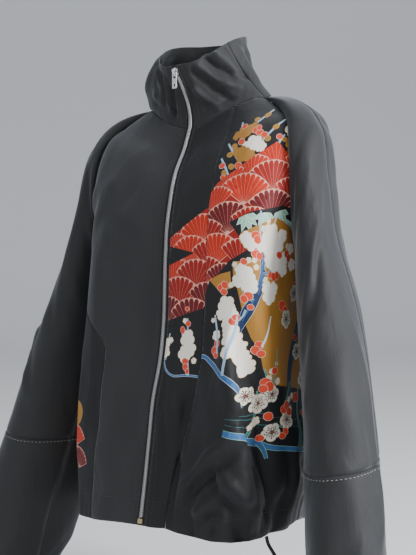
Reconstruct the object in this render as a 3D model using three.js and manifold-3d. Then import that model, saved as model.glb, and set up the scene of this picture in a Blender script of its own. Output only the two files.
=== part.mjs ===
import * as THREE from 'three';
import Module from 'manifold-3d';
import { mergeVertices } from 'three/addons/utils/BufferGeometryUtils.js';

// A zip-up jacket with a funnel collar and raglan sleeves, cut from formal kimono cloth and shown
// as it hangs when worn. Millimetres, +Z up. The front faces -Y and the wearer's left is +X.
// The origin is the middle of the neck opening, level with the seam where the collar meets the
// shoulders. Every cloth piece is a wall between its own seams, bent to the worn form.

const CLOTH = 2; // wall of a cloth piece
const SEAM_GAP = 0.3; // space left between two pieces at their seam
const UNDERARM_PULL = 1.3; // each piece's corner drawn back where they all meet at the underarm
const ZIP_HALF = 6.6; // from the middle of the zip to the edge of each front
const LEFT_CENTRE_WIDTH = 78; // front strip on the wearer's left, next to the zip
const LEFT_CENTRE_HEM_WIDTH = 38; // and where the gathers draw its lower end under
const LEFT_CENTRE_TAPERS_AT = 6.8; // body row where it starts to narrow
const RIGHT_FRONT_WIDTH = 104; // right front, from the zip to its side panel
const SIDE_PANEL_TOP_WIDTH = 16; // right side panel where it meets the underarm
const SIDE_PANEL_WIDENS_ROWS = 1.9; // rows below the underarm until it has its full width
const UNDERARM_ROW = 5;
const HEM_ROW = 11;
const PAST_SEAM = 1e4; // a distance round that always lies beyond the seam

// Small numeric helpers for the tables below

function table(columns, rows) {
  const names = columns.split(' ');
  return rows.map((row) => Object.fromEntries(names.map((name, i) => [name, row[i]])));
}

function ease(t) {
  const c = Math.min(1, Math.max(0, t));
  return c * c * (3 - 2 * c);
}

function lerp(a, b, t) {
  return a + (b - a) * t;
}

function spline(a, b, c, d, t) {
  const bend = (2 * a - 5 * b + 4 * c - d) * t * t;
  return 0.5 * (2 * b + (c - a) * t + bend + (3 * b - a - 3 * c + d) * t * t * t);
}

// A list read as a smooth curve: beyond its ends it goes on straight.
function along(values, position) {
  const last = values.length - 1;
  const i = Math.min(last - 1, Math.max(0, Math.floor(position)));
  const before = i > 0 ? values[i - 1] : 2 * values[0] - values[1];
  const after = i + 2 <= last ? values[i + 2] : 2 * values[last] - values[last - 1];
  return spline(before, values[i], values[i + 1], after, position - i);
}

function rowAt(rows, position) {
  const names = Object.keys(rows[0]);
  return Object.fromEntries(names.map((name) => [name, along(rows.map((row) => row[name]), position)]));
}

// The outer end of a body row follows the raglan seam down to the underarm, then the side seam.
function seamAt(rows, position) {
  const below = position >= UNDERARM_ROW;
  const part = below ? rows.slice(UNDERARM_ROW) : rows.slice(0, UNDERARM_ROW + 1);
  const at = below ? position - UNDERARM_ROW : position;
  const read = (name) => along(part.map((row) => row[name]), at);
  return { seamX: read('seamX'), seamY: read('seamY'), seamZ: read('seamZ') };
}

// Body sections, one row each from the neckline (0) past the underarm (5) to the hem (11).
// A row runs from the middle of the front or back, over its widest bend, to the raglan or side seam.
const FRONT = table('midZ midY nearX nearY bendX bendY seamX seamY seamZ', [
  [-49, -58.6, 45, -57, 84, -40, 110, -11, -3],
  [-86, -75, 55, -76, 112, -58, 148, -27, -30],
  [-133, -102, 62, -103, 128, -82, 172, -46, -55],
  [-199, -119, 66, -124, 142, -104, 186, -58, -105],
  [-247, -124, 68, -130, 150, -113, 189, -52, -165],
  [-292, -126.5, 70, -133, 155, -118, 180, -12, -232],
  [-353, -129, 72, -137, 162, -120, 174, -8, -320],
  [-413, -139, 74, -145, 168, -124, 178, -8, -398],
  [-472, -157, 76, -160, 169, -130, 184, -8, -466],
  [-531, -167, 78, -169, 168, -134, 187, -8, -534],
  [-592, -177.5, 80, -177, 167, -137, 188, -8, -604],
  [-653, -189.5, 80, -184, 162, -138, 182, -8, -678],
]);
const BACK = table('midZ midY nearX nearY bendX bendY seamX seamY seamZ', [
  [8, 72, 40, 70, 78, 54, 101, 30, 0],
  [-40, 88, 55, 88, 112, 70, 140, 42, -20],
  [-92, 101, 62, 101, 128, 86, 168, 54, -48],
  [-150, 110, 66, 111, 142, 95, 184, 54, -100],
  [-210, 114, 68, 116, 150, 98, 188, 38, -165],
  [-268, 117, 70, 119, 154, 98, 180, -12, -232],
  [-335, 120, 72, 121, 157, 98, 174, -8, -320],
  [-403, 126, 74, 127, 162, 102, 178, -8, -398],
  [-470, 134, 76, 134, 166, 106, 184, -8, -466],
  [-535, 142, 78, 140, 170, 108, 187, -8, -534],
  [-602, 146, 80, 144, 172, 108, 188, -8, -604],
  [-670, 142, 80, 140, 166, 102, 182, -8, -678],
]);

// Main folds of the body: a line from one place to another, given as distance round from the zip
// and row, with its width on each side of the line and its height, troughs negative.
const FOLDS = table('side fromWay fromRow toWay toRow widthIn widthOut height', [
  [1, 80, 6.4, 40, 11.6, 15, 13, -9],
  [1, 120, 5.9, 138, 11.6, 36, 40, 22],
  [1, 128, 5.6, 188, 10.9, 22, 14, 12],
  [1, 146, 5.8, 212, 10.9, 13, 16, -17],
  [1, 255, 8.0, 262, 11.2, 34, 30, 13],
  [1, 104, 9.6, 98, 11.4, 9, 9, 6],
  [1, 160, 10.2, 158, 11.5, 9, 8, -7],
  [1, 236, 9.8, 230, 11.5, 10, 9, -7],
  [1, 282, 9.4, 276, 11.5, 9, 9, -5],
  [1, 36, 8.4, 32, 11.2, 10, 10, -4],
  [-1, 34, 4.0, 30, 9.5, 16, 22, -5],
  [-1, 112, 2.6, 128, 7.6, 26, 26, 5],
  [-1, 190, 5.6, 214, 9.6, 18, 20, -7],
  [-1, 84, 8.6, 92, 11.5, 26, 26, 4],
]);
const BACK_FOLDS = table('side fromWay fromRow toWay toRow widthIn widthOut height', [
  [1, 150, 4.4, 96, 8.8, 20, 22, -6],
  [-1, 150, 4.2, 108, 8.2, 22, 20, -7],
  [1, 60, 7.5, 58, 11.6, 20, 20, 6],
  [-1, 52, 8.0, 62, 11.6, 22, 20, 5],
  [1, 176, 8.8, 186, 11.6, 16, 14, -9],
  [1, 228, 9.0, 224, 11.6, 14, 14, 8],
  [-1, 200, 8.4, 204, 11.6, 18, 18, 6],
]);
const HEM_DRAW = 16; // how far the drawcord pulls the left half of the hem in
const HEM_DRAW_ROWS = 1.3;
const HEM_LIFT = 22; // and how far up at the side seam
const FOLD_FADE = 26; // width over which folds die out towards a raglan seam
const FOLD_FADE_LOW = 16; // and towards a side seam

function foldHeight(folds, side, way, row, length) {
  let height = 0;
  for (const fold of folds) {
    if (fold.side !== side) continue;
    const t = (row - fold.fromRow) / (fold.toRow - fold.fromRow);
    if (t <= 0 || t >= 1) continue;
    const off = way - lerp(fold.fromWay, fold.toWay, t);
    const width = off < 0 ? fold.widthIn : fold.widthOut;
    const strength = Math.min(1, t / 0.3) ** 1.5 * Math.min(1, (1 - t) / 0.12);
    height += fold.height * Math.exp(-((off / width) ** 2)) * ease(strength);
  }
  return height * ease((length - way) / (row < UNDERARM_ROW + 1 ? FOLD_FADE : FOLD_FADE_LOW));
}

// One body section laid out as a curve in plan, read by the distance round from the middle.
const sectionCache = new Map();
function bodySection(rows, key, row) {
  const id = `${key}:${row.toFixed(4)}`;
  if (sectionCache.has(id)) return sectionCache.get(id);
  const r = { ...rowAt(rows, row), ...seamAt(rows, row) };
  const outward = rows === FRONT ? 1 : -1;
  const xs = [-r.nearX, 0, r.nearX, r.bendX, r.seamX, r.seamX + 0.25 * (r.seamX - r.bendX)];
  const ys = [r.nearY, r.midY, r.nearY, r.bendY, r.seamY, r.seamY + 70 * outward];
  const at = (t) => {
    const i = Math.min(3, Math.floor(t) + 1);
    const f = t - (i - 1);
    return [
      spline(xs[i - 1], xs[i], xs[i + 1], xs[i + 2], f),
      spline(ys[i - 1], ys[i], ys[i + 1], ys[i + 2], f),
    ];
  };
  const steps = 48;
  const marks = [];
  let length = 0;
  for (let k = 0; k <= steps; k += 1) {
    const p = at((3 * k) / steps);
    if (k > 0) length += Math.hypot(p[0] - marks[k - 1].x, p[1] - marks[k - 1].y);
    marks.push({ x: p[0], y: p[1], way: length });
  }
  const section = { r, at, marks, length, steps };
  sectionCache.set(id, section);
  return section;
}

function bodyPoint(rows, side, way, row) {
  const section = bodySection(rows, rows === FRONT ? 'front' : 'back', row);
  const w = Math.abs(way);
  const { marks, steps } = section;
  let k = 0;
  while (k < steps - 1 && marks[k + 1].way < w) k += 1;
  const part = (w - marks[k].way) / (marks[k + 1].way - marks[k].way);
  const t = (3 * (k + part)) / steps;
  const [x, y] = section.at(Math.min(t, 3));
  const [x2, y2] = section.at(Math.min(t + 0.02, 3));
  const [x1, y1] = section.at(Math.max(Math.min(t, 3) - 0.02, 0));
  const reach = Math.hypot(x2 - x1, y2 - y1) || 1;
  const sign = rows === FRONT ? 1 : -1;
  const nx = (sign * (y2 - y1)) / reach;
  const ny = (-sign * (x2 - x1)) / reach;
  const folds = rows === FRONT ? FOLDS : BACK_FOLDS;
  const out = foldHeight(folds, side, w, row, section.length);
  const share = Math.min(1, w / section.length);
  const p = new THREE.Vector3(x + nx * out, y + ny * out, lerp(section.r.midZ, section.r.seamZ, ease(share)));
  if (side > 0) {
    const drawn = ease((row - (HEM_ROW - HEM_DRAW_ROWS)) / HEM_DRAW_ROWS) * ease((share - 0.12) / 0.4);
    const inward = HEM_DRAW * drawn / Math.hypot(p.x, p.y);
    p.z += HEM_LIFT * ease((row - UNDERARM_ROW) / (HEM_ROW - UNDERARM_ROW)) * ease(share - 0.35);
    p.x -= inward * p.x;
    p.y -= inward * p.y;
  }
  return p.setX(side * p.x);
}

function sectionLength(rows, row) {
  return bodySection(rows, rows === FRONT ? 'front' : 'back', row).length;
}

// Sleeve sections below the raglan seam, from the armhole to the end of the cuff. inner is the
// side against the body, outer the side away from it; turn swings the front of the sleeve out.
const SLEEVE = table('innerX innerZ outerX outerZ midY deep turn', [
  [183, -243, 207, -50, -18, 58, 0],
  [185, -266, 225, -135, -22, 64, 4],
  [187, -305, 240, -225, -27, 74, 8],
  [192, -372, 272, -325, -34, 82, 12],
  [204, -452, 299, -422, -51, 86, 17],
  [215, -532, 317, -512, -68, 88, 20],
  [225, -606, 333, -595, -86, 90, 22],
  [236, -678, 346, -672, -104, 88, 22],
  [250, -742, 350, -738, -114, 78, 20],
  [266, -790, 340, -788, -120, 50, 18],
  [268, -842, 342, -840, -124, 47, 18],
]);
const SLEEVE_ROUNDNESS = 2.3;
const RAGLAN_PUFF = 10; // how far the sleeve swells out just past the front raglan seam
const BACK_PUFF = 18; // and sideways past the back one
const LOWER_SLEEVE_AT = 6.35; // section where the lower sleeve is joined on
const CUFF_AT = 10;
const SLEEVE_END = 11;
const NECK_CELLS = 2; // cells of each sleeve half that lie on the neckline
const TOP_CELLS = 12; // cells down the raglan seam
const HALF_CELLS = TOP_CELLS + NECK_CELLS;
const NECK_TOP = new THREE.Vector3(111, 10, 2);

function neckSidePoint(side, t) {
  const front = bodyPoint(FRONT, side, PAST_SEAM, 0);
  const back = bodyPoint(BACK, side, PAST_SEAM, 0);
  const top = new THREE.Vector3(side * NECK_TOP.x, NECK_TOP.y, NECK_TOP.z);
  const curve = new THREE.QuadraticBezierCurve3(front, top.multiplyScalar(2).sub(
    front.clone().add(back).multiplyScalar(0.5)), back);
  return curve.getPoint(t);
}

// Raglan loop: up the front seam from the underarm, over the neckline, down the back seam.
function raglanPoint(side, column) {
  const backHalf = column > HALF_CELLS;
  const c = backHalf ? 2 * HALF_CELLS - column : column;
  if (c >= TOP_CELLS) {
    const t = (0.5 * (c - TOP_CELLS)) / NECK_CELLS;
    return neckSidePoint(side, backHalf ? 1 - t : t);
  }
  return bodyPoint(backHalf ? BACK : FRONT, side, PAST_SEAM, UNDERARM_ROW * (1 - c / TOP_CELLS));
}

function sleeveSectionPoint(side, r, column) {
  const angle = (Math.PI * column) / HALF_CELLS;
  const power = 2 / SLEEVE_ROUNDNESS;
  const inward = Math.sign(Math.cos(angle)) * Math.abs(Math.cos(angle)) ** power;
  const forward = Math.sign(Math.sin(angle)) * Math.abs(Math.sin(angle)) ** power;
  const turn = (r.turn * Math.PI) / 180;
  const halfX = (r.innerX - r.outerX) / 2;
  const halfZ = (r.innerZ - r.outerZ) / 2;
  const x = (r.innerX + r.outerX) / 2 + inward * halfX * Math.cos(turn) + forward * r.deep * Math.sin(turn);
  const y = r.midY + inward * halfX * Math.sin(turn) - forward * r.deep * Math.cos(turn);
  const z = (r.innerZ + r.outerZ) / 2 + inward * halfZ;
  return new THREE.Vector3(side * x, y, z);
}

function sleevePoint(side, column, position) {
  const i = Math.min(Math.floor(position), SLEEVE_END - 1);
  const stop = (k) => {
    if (k <= 0) return raglanPoint(side, column);
    return sleeveSectionPoint(side, SLEEVE[Math.min(k, SLEEVE_END) - 1], column);
  };
  const b = stop(i);
  const c = stop(i + 1);
  const a = i > 0 ? stop(i - 1) : b.clone().multiplyScalar(2).sub(c);
  const d = i + 2 <= SLEEVE_END ? stop(i + 2) : c.clone().multiplyScalar(2).sub(b);
  const f = position - i;
  const p = new THREE.Vector3(
    spline(a.x, b.x, c.x, d.x, f),
    spline(a.y, b.y, c.y, d.y, f),
    spline(a.z, b.z, c.z, d.z, f),
  );
  if (i > 0) return p;
  const { innerX, outerX, innerZ, outerZ, midY } = SLEEVE[0];
  const middle = new THREE.Vector3(side * (innerX + outerX) / 2, midY, (innerZ + outerZ) / 2);
  const swell = Math.sin(Math.PI * f);
  const pastTop = ease((column - HALF_CELLS) / NECK_CELLS);
  const back = pastTop * ease((2 * HALF_CELLS - column) / NECK_CELLS);
  const front = ease(column / NECK_CELLS) * (1 - pastTop);
  p.addScaledVector(c.clone().sub(middle).normalize(), RAGLAN_PUFF * swell * front);
  return p.setX(p.x + side * BACK_PUFF * swell * back);
}

// Collar: its lower edge is the neckline. The rim table goes round from the zip to the middle of
// the back; bulge swells the wall between the two, and the wearer's right side is fuller.
const RIM = table('x y z bulgeLeft bulgeRight', [
  [0, -105, 41, -15, -15],
  [30, -95, 47, -12, -8],
  [52, -73, 64, -8, 5],
  [65, -38, 87, -7, 17],
  [64, 5, 103, -10, 17],
  [43, 44, 109, -8, 6],
  [0, 60, 110, 2, 2],
]);

function collarPoint(side, base, turnPart, height) {
  const r = rowAt(RIM, turnPart * (RIM.length - 1));
  const bulge = (side > 0 ? r.bulgeLeft : r.bulgeRight) * Math.sin(Math.PI * height ** 0.85);
  const rim = new THREE.Vector3(side * r.x, r.y, r.z);
  const p = base.clone().lerp(rim, height);
  const out = new THREE.Vector3(base.x + rim.x, base.y + rim.y, 0).normalize();
  return p.addScaledVector(out, bulge);
}

// Grids of points for every cloth piece, rows[j][i], with the core that its inside faces.
const bodyCore = (p) => new THREE.Vector3(0, 0, p.z);
const sleeveCore = (side) => (p) => {
  const t = Math.min(1, Math.max(0, (-p.z - 60) / 740));
  return new THREE.Vector3(side * lerp(150, 300, t), lerp(-10, -118, t), p.z - lerp(60, 0, t));
};

function range(from, to, cells) {
  return Array.from({ length: cells + 1 }, (_, i) => lerp(from, to, i / cells));
}

const LOWER_CELLS = 15; // cells from the underarm to the hem
const FRONT_CELLS = 9; // cells across each cloth piece
const SIDE_PANEL_CELLS = 6;
const CENTRE_CELLS = 4;
const PRINT_CELLS = 14;
const SLEEVE_CELLS = 13; // cells down each part of a sleeve
const LOWER_SLEEVE_CELLS = 8;
const CUFF_CELLS = 2;
const bodyRows = [...range(0, UNDERARM_ROW, TOP_CELLS), ...range(UNDERARM_ROW, HEM_ROW, LOWER_CELLS).slice(1)];
const frontWidth = (side, row) => {
  if (side > 0 || row < UNDERARM_ROW) return sectionLength(FRONT, row);
  const start = sectionLength(FRONT, UNDERARM_ROW) - SIDE_PANEL_TOP_WIDTH;
  return lerp(start, RIGHT_FRONT_WIDTH, ease((row - UNDERARM_ROW) / SIDE_PANEL_WIDENS_ROWS));
};

const leftCentreWidth = (row) => {
  const t = ease((row - LEFT_CENTRE_TAPERS_AT) / (HEM_ROW - LEFT_CENTRE_TAPERS_AT));
  return lerp(LEFT_CENTRE_WIDTH, LEFT_CENTRE_HEM_WIDTH, t);
};

function bodyGrid(rows, side, fromWay, toWay, cells, rowList) {
  return rowList.map((row) => {
    const ways = range(fromWay(row), toWay(row), cells);
    return ways.map((way) => bodyPoint(rows, side, way, row));
  });
}

const grids = [];
function addGrid(name, rows, colour, core, options = {}) {
  grids.push({ name, rows, colour, core, ...options });
}

const BLACK = '#2b2d30';
const PRINT = '#7d4a33';
addGrid('right_front', bodyGrid(FRONT, -1, () => ZIP_HALF, (row) => frontWidth(-1, row), FRONT_CELLS, bodyRows),
  BLACK, bodyCore);
addGrid('right_side', bodyGrid(FRONT, -1, (row) => frontWidth(-1, row),
  (row) => sectionLength(FRONT, row), SIDE_PANEL_CELLS, bodyRows.filter((row) => row >= UNDERARM_ROW)),
  BLACK, bodyCore);
addGrid('left_front', bodyGrid(FRONT, 1, () => ZIP_HALF, leftCentreWidth, CENTRE_CELLS, bodyRows),
  BLACK, bodyCore);
addGrid('left_side_front', bodyGrid(FRONT, 1, leftCentreWidth, (row) => sectionLength(FRONT, row),
  PRINT_CELLS, bodyRows), PRINT, bodyCore);
for (const [name, side] of [['back_right', -1], ['back_left', 1]]) {
  addGrid(name, bodyGrid(BACK, side, () => 0, (row) => sectionLength(BACK, row), FRONT_CELLS, bodyRows),
    BLACK, bodyCore);
}

const columns = range(0, HALF_CELLS, HALF_CELLS);
const sleeveGrid = (side, from, to, cells, cols) =>
  range(from, to, cells).map((t) => cols.map((c) => sleevePoint(side, c, t)));
for (const [word, side] of [['right', -1], ['left', 1]]) {
  const core = sleeveCore(side);
  const back = columns.map((c) => c + HALF_CELLS);
  addGrid(`${word}_sleeve_front`, sleeveGrid(side, 0, LOWER_SLEEVE_AT, SLEEVE_CELLS, columns), BLACK, core);
  addGrid(`${word}_sleeve_back`, sleeveGrid(side, 0, LOWER_SLEEVE_AT, SLEEVE_CELLS, back),
    BLACK, core, { topRunsDown: true });
  const lower = (cols) => sleeveGrid(side, LOWER_SLEEVE_AT, CUFF_AT, LOWER_SLEEVE_CELLS, cols);
  addGrid(`${word}_lower_sleeve_front`, lower(columns), BLACK, core);
  addGrid(`${word}_lower_sleeve_back`, lower(back), BLACK, core);
  const round = [...columns, ...back.slice(1)];
  addGrid(`${word}_cuff`, sleeveGrid(side, CUFF_AT, SLEEVE_END, CUFF_CELLS, round),
    BLACK, core, { ring: true });
}

// Neckline read round one side, from the zip over the sleeve head to the middle of the back
const gridNamed = (name) => grids.find((grid) => grid.name === name).rows;
const COLLAR_CELL = 6.5; // least width of a collar cell
const COLLAR_CELL_AT_SEAM = 5; // and of the one before the sleeve head
function necklineOf(side) {
  const fronts = side > 0
    ? [...gridNamed('left_front')[0], ...gridNamed('left_side_front')[0].slice(1)]
    : gridNamed('right_front')[0];
  const sleeve = range(0, 1, 2 * NECK_CELLS).slice(1).map((t) => neckSidePoint(side, t));
  const back = [...gridNamed(side > 0 ? 'back_left' : 'back_right')[0]].reverse().slice(1);
  const all = [...fronts, ...sleeve, ...back];
  const kept = [all[0]];
  const seams = [fronts[fronts.length - 1], back[back.length - 1]];
  for (const p of all.slice(1)) {
    const isSeam = seams.includes(p);
    const close = p.distanceTo(kept[kept.length - 1]) < COLLAR_CELL;
    if (!isSeam && (close || p.distanceTo(seams[0]) < COLLAR_CELL_AT_SEAM)) continue;
    kept.push(p);
  }
  return { points: kept, seamIndex: kept.indexOf(seams[0]) };
}
const COLLAR_ROWS = range(0, 1, 8); // heights of the collar, seam 0 to rim 1
function collarGrid(side) {
  const { points, seamIndex } = necklineOf(side);
  const ways = [0];
  for (let i = 1; i < points.length; i += 1) ways.push(ways[i - 1] + points[i].distanceTo(points[i - 1]));
  const total = ways[ways.length - 1] + ZIP_HALF;
  const rows = COLLAR_ROWS.map((h) => points.map((p, i) => {
    const lifted = collarPoint(side, p, (ways[i] + ZIP_HALF) / total, h);
    if (i === 0) lifted.x = side * ZIP_HALF;
    return lifted;
  }));
  return { rows, seamIndex };
}
const COLLAR = '#303236';
const leftCollar = collarGrid(1);
const rightCollar = collarGrid(-1);
for (const [name, { rows, seamIndex }] of [['collar_left', leftCollar], ['collar_right', rightCollar]]) {
  addGrid(name, rows.map((row) => row.slice(0, seamIndex + 1)), COLLAR, bodyCore);
}
addGrid('collar_back', leftCollar.rows.map((row, j) => [
  ...row.slice(leftCollar.seamIndex),
  ...rightCollar.rows[j].slice(rightCollar.seamIndex, -1).reverse(),
]), COLLAR, bodyCore);

// Zip tapes fill the strip between the fronts and run on up the edges of the collar.
const TAPE_COLUMNS = [SEAM_GAP / 2, ZIP_HALF]; // across each tape, from the middle of the zip
const TAPE_WALL = 1.2;
const TAPE_SUNK = 0.4; // face of the tapes below the face of the fronts
const TAPE = '#1d1e20';
function zipRows(side) {
  const collarRows = side > 0 ? leftCollar.rows : rightCollar.rows;
  const collar = collarRows.slice(1).reverse().map((row) =>
    TAPE_COLUMNS.map((x) => new THREE.Vector3(side * x, row[0].y, row[0].z)));
  const body = bodyRows.map((row) => TAPE_COLUMNS.map((x) => bodyPoint(FRONT, side, x, row)));
  return [...collar, ...body];
}
addGrid('zip_tape_right', zipRows(-1), TAPE, bodyCore, { wall: TAPE_WALL, sunk: TAPE_SUNK });
addGrid('zip_tape_left', zipRows(1), TAPE, bodyCore, { wall: TAPE_WALL, sunk: TAPE_SUNK });

// Normals shared at seams, so that two walls meet along one cut through the cloth
const normalSums = new Map();
const keyOf = (p) => `${Math.round(p.x * 50)},${Math.round(p.y * 50)},${Math.round(p.z * 50)}`;
for (const grid of grids) {
  const { rows } = grid;
  const faces = [];
  let facing = 0;
  for (let j = 0; j + 1 < rows.length; j += 1) {
    for (let i = 0; i + 1 < rows[j].length; i += 1) {
      const [a, b, c, d] = [rows[j][i], rows[j][i + 1], rows[j + 1][i + 1], rows[j + 1][i]];
      const n = c.clone().sub(a).cross(d.clone().sub(b));
      facing += n.dot(a.clone().sub(grid.core(a)));
      faces.push([n, [a, b, c, d]]);
    }
  }
  grid.sign = facing < 0 ? -1 : 1;
  for (const [n, corners] of faces) {
    for (const p of corners) {
      const key = keyOf(p);
      if (!normalSums.has(key)) normalSums.set(key, new THREE.Vector3());
      normalSums.get(key).addScaledVector(n, grid.sign);
    }
  }
}
const normalAt = (p) => normalSums.get(keyOf(p)).clone().normalize();

const underarms = [-1, 1].map((side) => keyOf(bodyPoint(FRONT, side, PAST_SEAM, UNDERARM_ROW)));

// One closed wall from a grid: outer face, inner face, and its four edges drawn back from the seams.
// The cells of a cut edge are split the same way on both sides of a seam, because they twist.
function wallGeometry(grid) {
  const { rows, sign, ring = false, topRunsDown = false, wall = CLOTH, sunk = 0 } = grid;
  const nj = rows.length;
  const ni = ring ? rows[0].length - 1 : rows[0].length;
  const outer = rows.map((row, j) => row.slice(0, ni).map((p, i) => {
    const q = p.clone();
    const distance = underarms.includes(keyOf(p)) ? UNDERARM_PULL : SEAM_GAP / 2;
    const step = (other) => {
      const away = other.clone().sub(p);
      q.addScaledVector(away.normalize(), distance);
    };
    if (j === 0) step(rows[1][i]);
    if (j === nj - 1) step(rows[nj - 2][i]);
    if (!ring && i === 0) step(rows[j][1]);
    if (!ring && i === ni - 1) step(rows[j][ni - 2]);
    return q;
  }));
  const positions = [];
  const put = (p) => positions.push(p.x, p.y, p.z);
  for (const depth of [sunk, sunk + wall]) {
    outer.forEach((row, j) => {
      row.forEach((q, i) => put(q.clone().addScaledVector(normalAt(rows[j][i]), -depth)));
    });
  }
  const at = (layer, j, i) => layer * nj * ni + j * ni + (i % ni);
  const index = [];
  const quad = (a, b, c, d) => {
    if (sign > 0) index.push(a, b, c, a, c, d);
    else index.push(a, c, b, a, d, c);
  };
  const across = ring ? ni : ni - 1;
  for (let j = 0; j + 1 < nj; j += 1) {
    for (let i = 0; i < across; i += 1) {
      quad(at(0, j, i), at(0, j, i + 1), at(0, j + 1, i + 1), at(0, j + 1, i));
      quad(at(1, j, i), at(1, j + 1, i), at(1, j + 1, i + 1), at(1, j, i + 1));
    }
  }
  for (let i = 0; i < across; i += 1) {
    if (topRunsDown) quad(at(0, 0, i + 1), at(0, 0, i), at(1, 0, i), at(1, 0, i + 1));
    else quad(at(0, 0, i), at(1, 0, i), at(1, 0, i + 1), at(0, 0, i + 1));
    quad(at(0, nj - 1, i), at(0, nj - 1, i + 1), at(1, nj - 1, i + 1), at(1, nj - 1, i));
  }
  if (!ring) {
    for (let j = 0; j + 1 < nj; j += 1) {
      quad(at(0, j + 1, 0), at(1, j + 1, 0), at(1, j, 0), at(0, j, 0));
      quad(at(0, j + 1, ni - 1), at(0, j, ni - 1), at(1, j, ni - 1), at(1, j + 1, ni - 1));
    }
  }
  const geometry = new THREE.BufferGeometry();
  geometry.setAttribute('position', new THREE.Float32BufferAttribute(positions, 3));
  geometry.setIndex(index);
  return geometry;
}

const jacket = new THREE.Group();
function addMesh(name, geometry, colour, roughness = 0.75, metalness = 0) {
  const material = new THREE.MeshStandardMaterial({ color: colour, roughness, metalness });
  const mesh = new THREE.Mesh(geometry, material);
  mesh.name = name;
  jacket.add(mesh);
  return mesh;
}
for (const grid of grids) addMesh(grid.name, wallGeometry(grid), grid.colour);

// Zip chain: a bar over the meeting edges of the tapes, from the slider down to the bottom stop
const CHAIN_HALF = 3;
const CHAIN_LOW = SEAM_GAP - TAPE_SUNK; // heights from the face of the fronts
const CHAIN_HIGH = 2.1;
const STOP_HALF = 4;
const STOP_HIGH = 3;
const SLIDER_FROM_TOP = 8.5; // middle of the slider, down from the top of the zip
const SLIDER_LENGTH = 12;
const STOP_LENGTH = 7;
const STOP_FROM_HEM = 3;
const SILVER = '#b9bcc0';
const BRASS = '#a8935f';
const rightTape = gridNamed('zip_tape_right');
const zipStations = gridNamed('zip_tape_left').map((row, j) => {
  const p = row[0].clone().add(rightTape[j][0]).multiplyScalar(0.5);
  const n = normalAt(row[0]).clone().add(normalAt(rightTape[j][0]));
  return { p: p.setX(0), n: n.setX(0).normalize() };
});
let zipLength = 0;
zipStations.forEach((station, j) => {
  if (j > 0) zipLength += station.p.distanceTo(zipStations[j - 1].p);
  station.down = zipLength;
});
function zipAt(down) {
  let j = 0;
  while (j < zipStations.length - 2 && zipStations[j + 1].down < down) j += 1;
  const [a, b] = [zipStations[j], zipStations[j + 1]];
  const t = (down - a.down) / (b.down - a.down);
  return { down, p: a.p.clone().lerp(b.p, t), n: a.n.clone().lerp(b.n, t).normalize() };
}
function bar(from, to, half, low, high) {
  const inner = zipStations.filter((station) => station.down > from + 1 && station.down < to - 1);
  const stations = [zipAt(from), ...inner, zipAt(to)];
  const positions = [];
  for (const { p, n } of stations) {
    for (const [x, height] of [[-half, low], [half, low], [half, high], [-half, high]]) {
      positions.push(x, p.y + n.y * height, p.z + n.z * height);
    }
  }
  const last = 4 * (stations.length - 1);
  const index = [0, 2, 1, 0, 3, 2, last, last + 1, last + 2, last, last + 2, last + 3];
  for (let j = 0; j < last; j += 4) {
    for (let k = 0; k < 4; k += 1) {
      const [a, b] = [j + k, j + ((k + 1) % 4)];
      index.push(a, b, b + 4, a, b + 4, a + 4);
    }
  }
  const geometry = new THREE.BufferGeometry();
  geometry.setAttribute('position', new THREE.Float32BufferAttribute(positions, 3));
  geometry.setIndex(index);
  return geometry;
}
const stopTop = zipLength - STOP_FROM_HEM - STOP_LENGTH;
const chainTop = SLIDER_FROM_TOP + SLIDER_LENGTH / 2 + SEAM_GAP;
addMesh('zip_chain', bar(chainTop, stopTop - SEAM_GAP, CHAIN_HALF, CHAIN_LOW, CHAIN_HIGH), SILVER, 0.35, 1);
addMesh('zip_bottom_stop', bar(stopTop, stopTop + STOP_LENGTH, STOP_HALF, CHAIN_LOW, STOP_HIGH), BRASS, 0.4, 1);

// Slider: a tapered plate with a bridge over it, drawn flat and then turned to the slope of the zip
const SLIDER_THICK = 2.6;
const SLIDER_MOUTH_HALF = 3.6; // half width where the closed teeth leave it
const SLIDER_WIDEST_HALF = 5;
const SLIDER_WIDEST_AT = 3; // up from its middle
const SLIDER_LIFT = 0.6; // plate clear of the tapes at the bend of the collar
const BRIDGE_HALF_WIDTH = 1.5;
const BRIDGE_REACH = 5;
const BRIDGE_POST = 1.5;
const BRIDGE_GAP = 3.8;
const BRIDGE_BAR = 1.3;
const PIVOT_HEIGHT = SLIDER_LIFT + SLIDER_THICK + BRIDGE_GAP / 2;
const wasm = await Module();
wasm.setup();
function solid(geometry) {
  const bare = geometry.clone();
  bare.deleteAttribute('normal');
  bare.deleteAttribute('uv');
  const merged = mergeVertices(bare, 1e-4);
  return new wasm.Manifold(new wasm.Mesh({
    numProp: 3,
    vertProperties: new Float32Array(merged.attributes.position.array),
    triVerts: new Uint32Array(merged.index.array),
  }));
}
function geometryOf(manifold) {
  const mesh = manifold.getMesh();
  const geometry = new THREE.BufferGeometry();
  geometry.setAttribute('position', new THREE.Float32BufferAttribute(mesh.vertProperties, 3));
  geometry.setIndex(Array.from(mesh.triVerts));
  return geometry;
}
const sliderOutline = new THREE.Shape();
const [mouth, widest, sliderEnd] = [SLIDER_MOUTH_HALF, SLIDER_WIDEST_HALF, SLIDER_LENGTH / 2];
sliderOutline.moveTo(-mouth, -sliderEnd);
sliderOutline.lineTo(mouth, -sliderEnd);
sliderOutline.quadraticCurveTo(mouth + 0.3, 0, widest, SLIDER_WIDEST_AT);
sliderOutline.quadraticCurveTo(widest - 0.6, sliderEnd, 0, sliderEnd);
sliderOutline.quadraticCurveTo(0.6 - widest, sliderEnd, -widest, SLIDER_WIDEST_AT);
sliderOutline.quadraticCurveTo(-mouth - 0.3, 0, -mouth, -sliderEnd);
const plate = new THREE.ExtrudeGeometry(sliderOutline, {
  depth: SLIDER_THICK, bevelEnabled: false, curveSegments: 5,
});
plate.translate(0, 0, SLIDER_LIFT);
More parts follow.
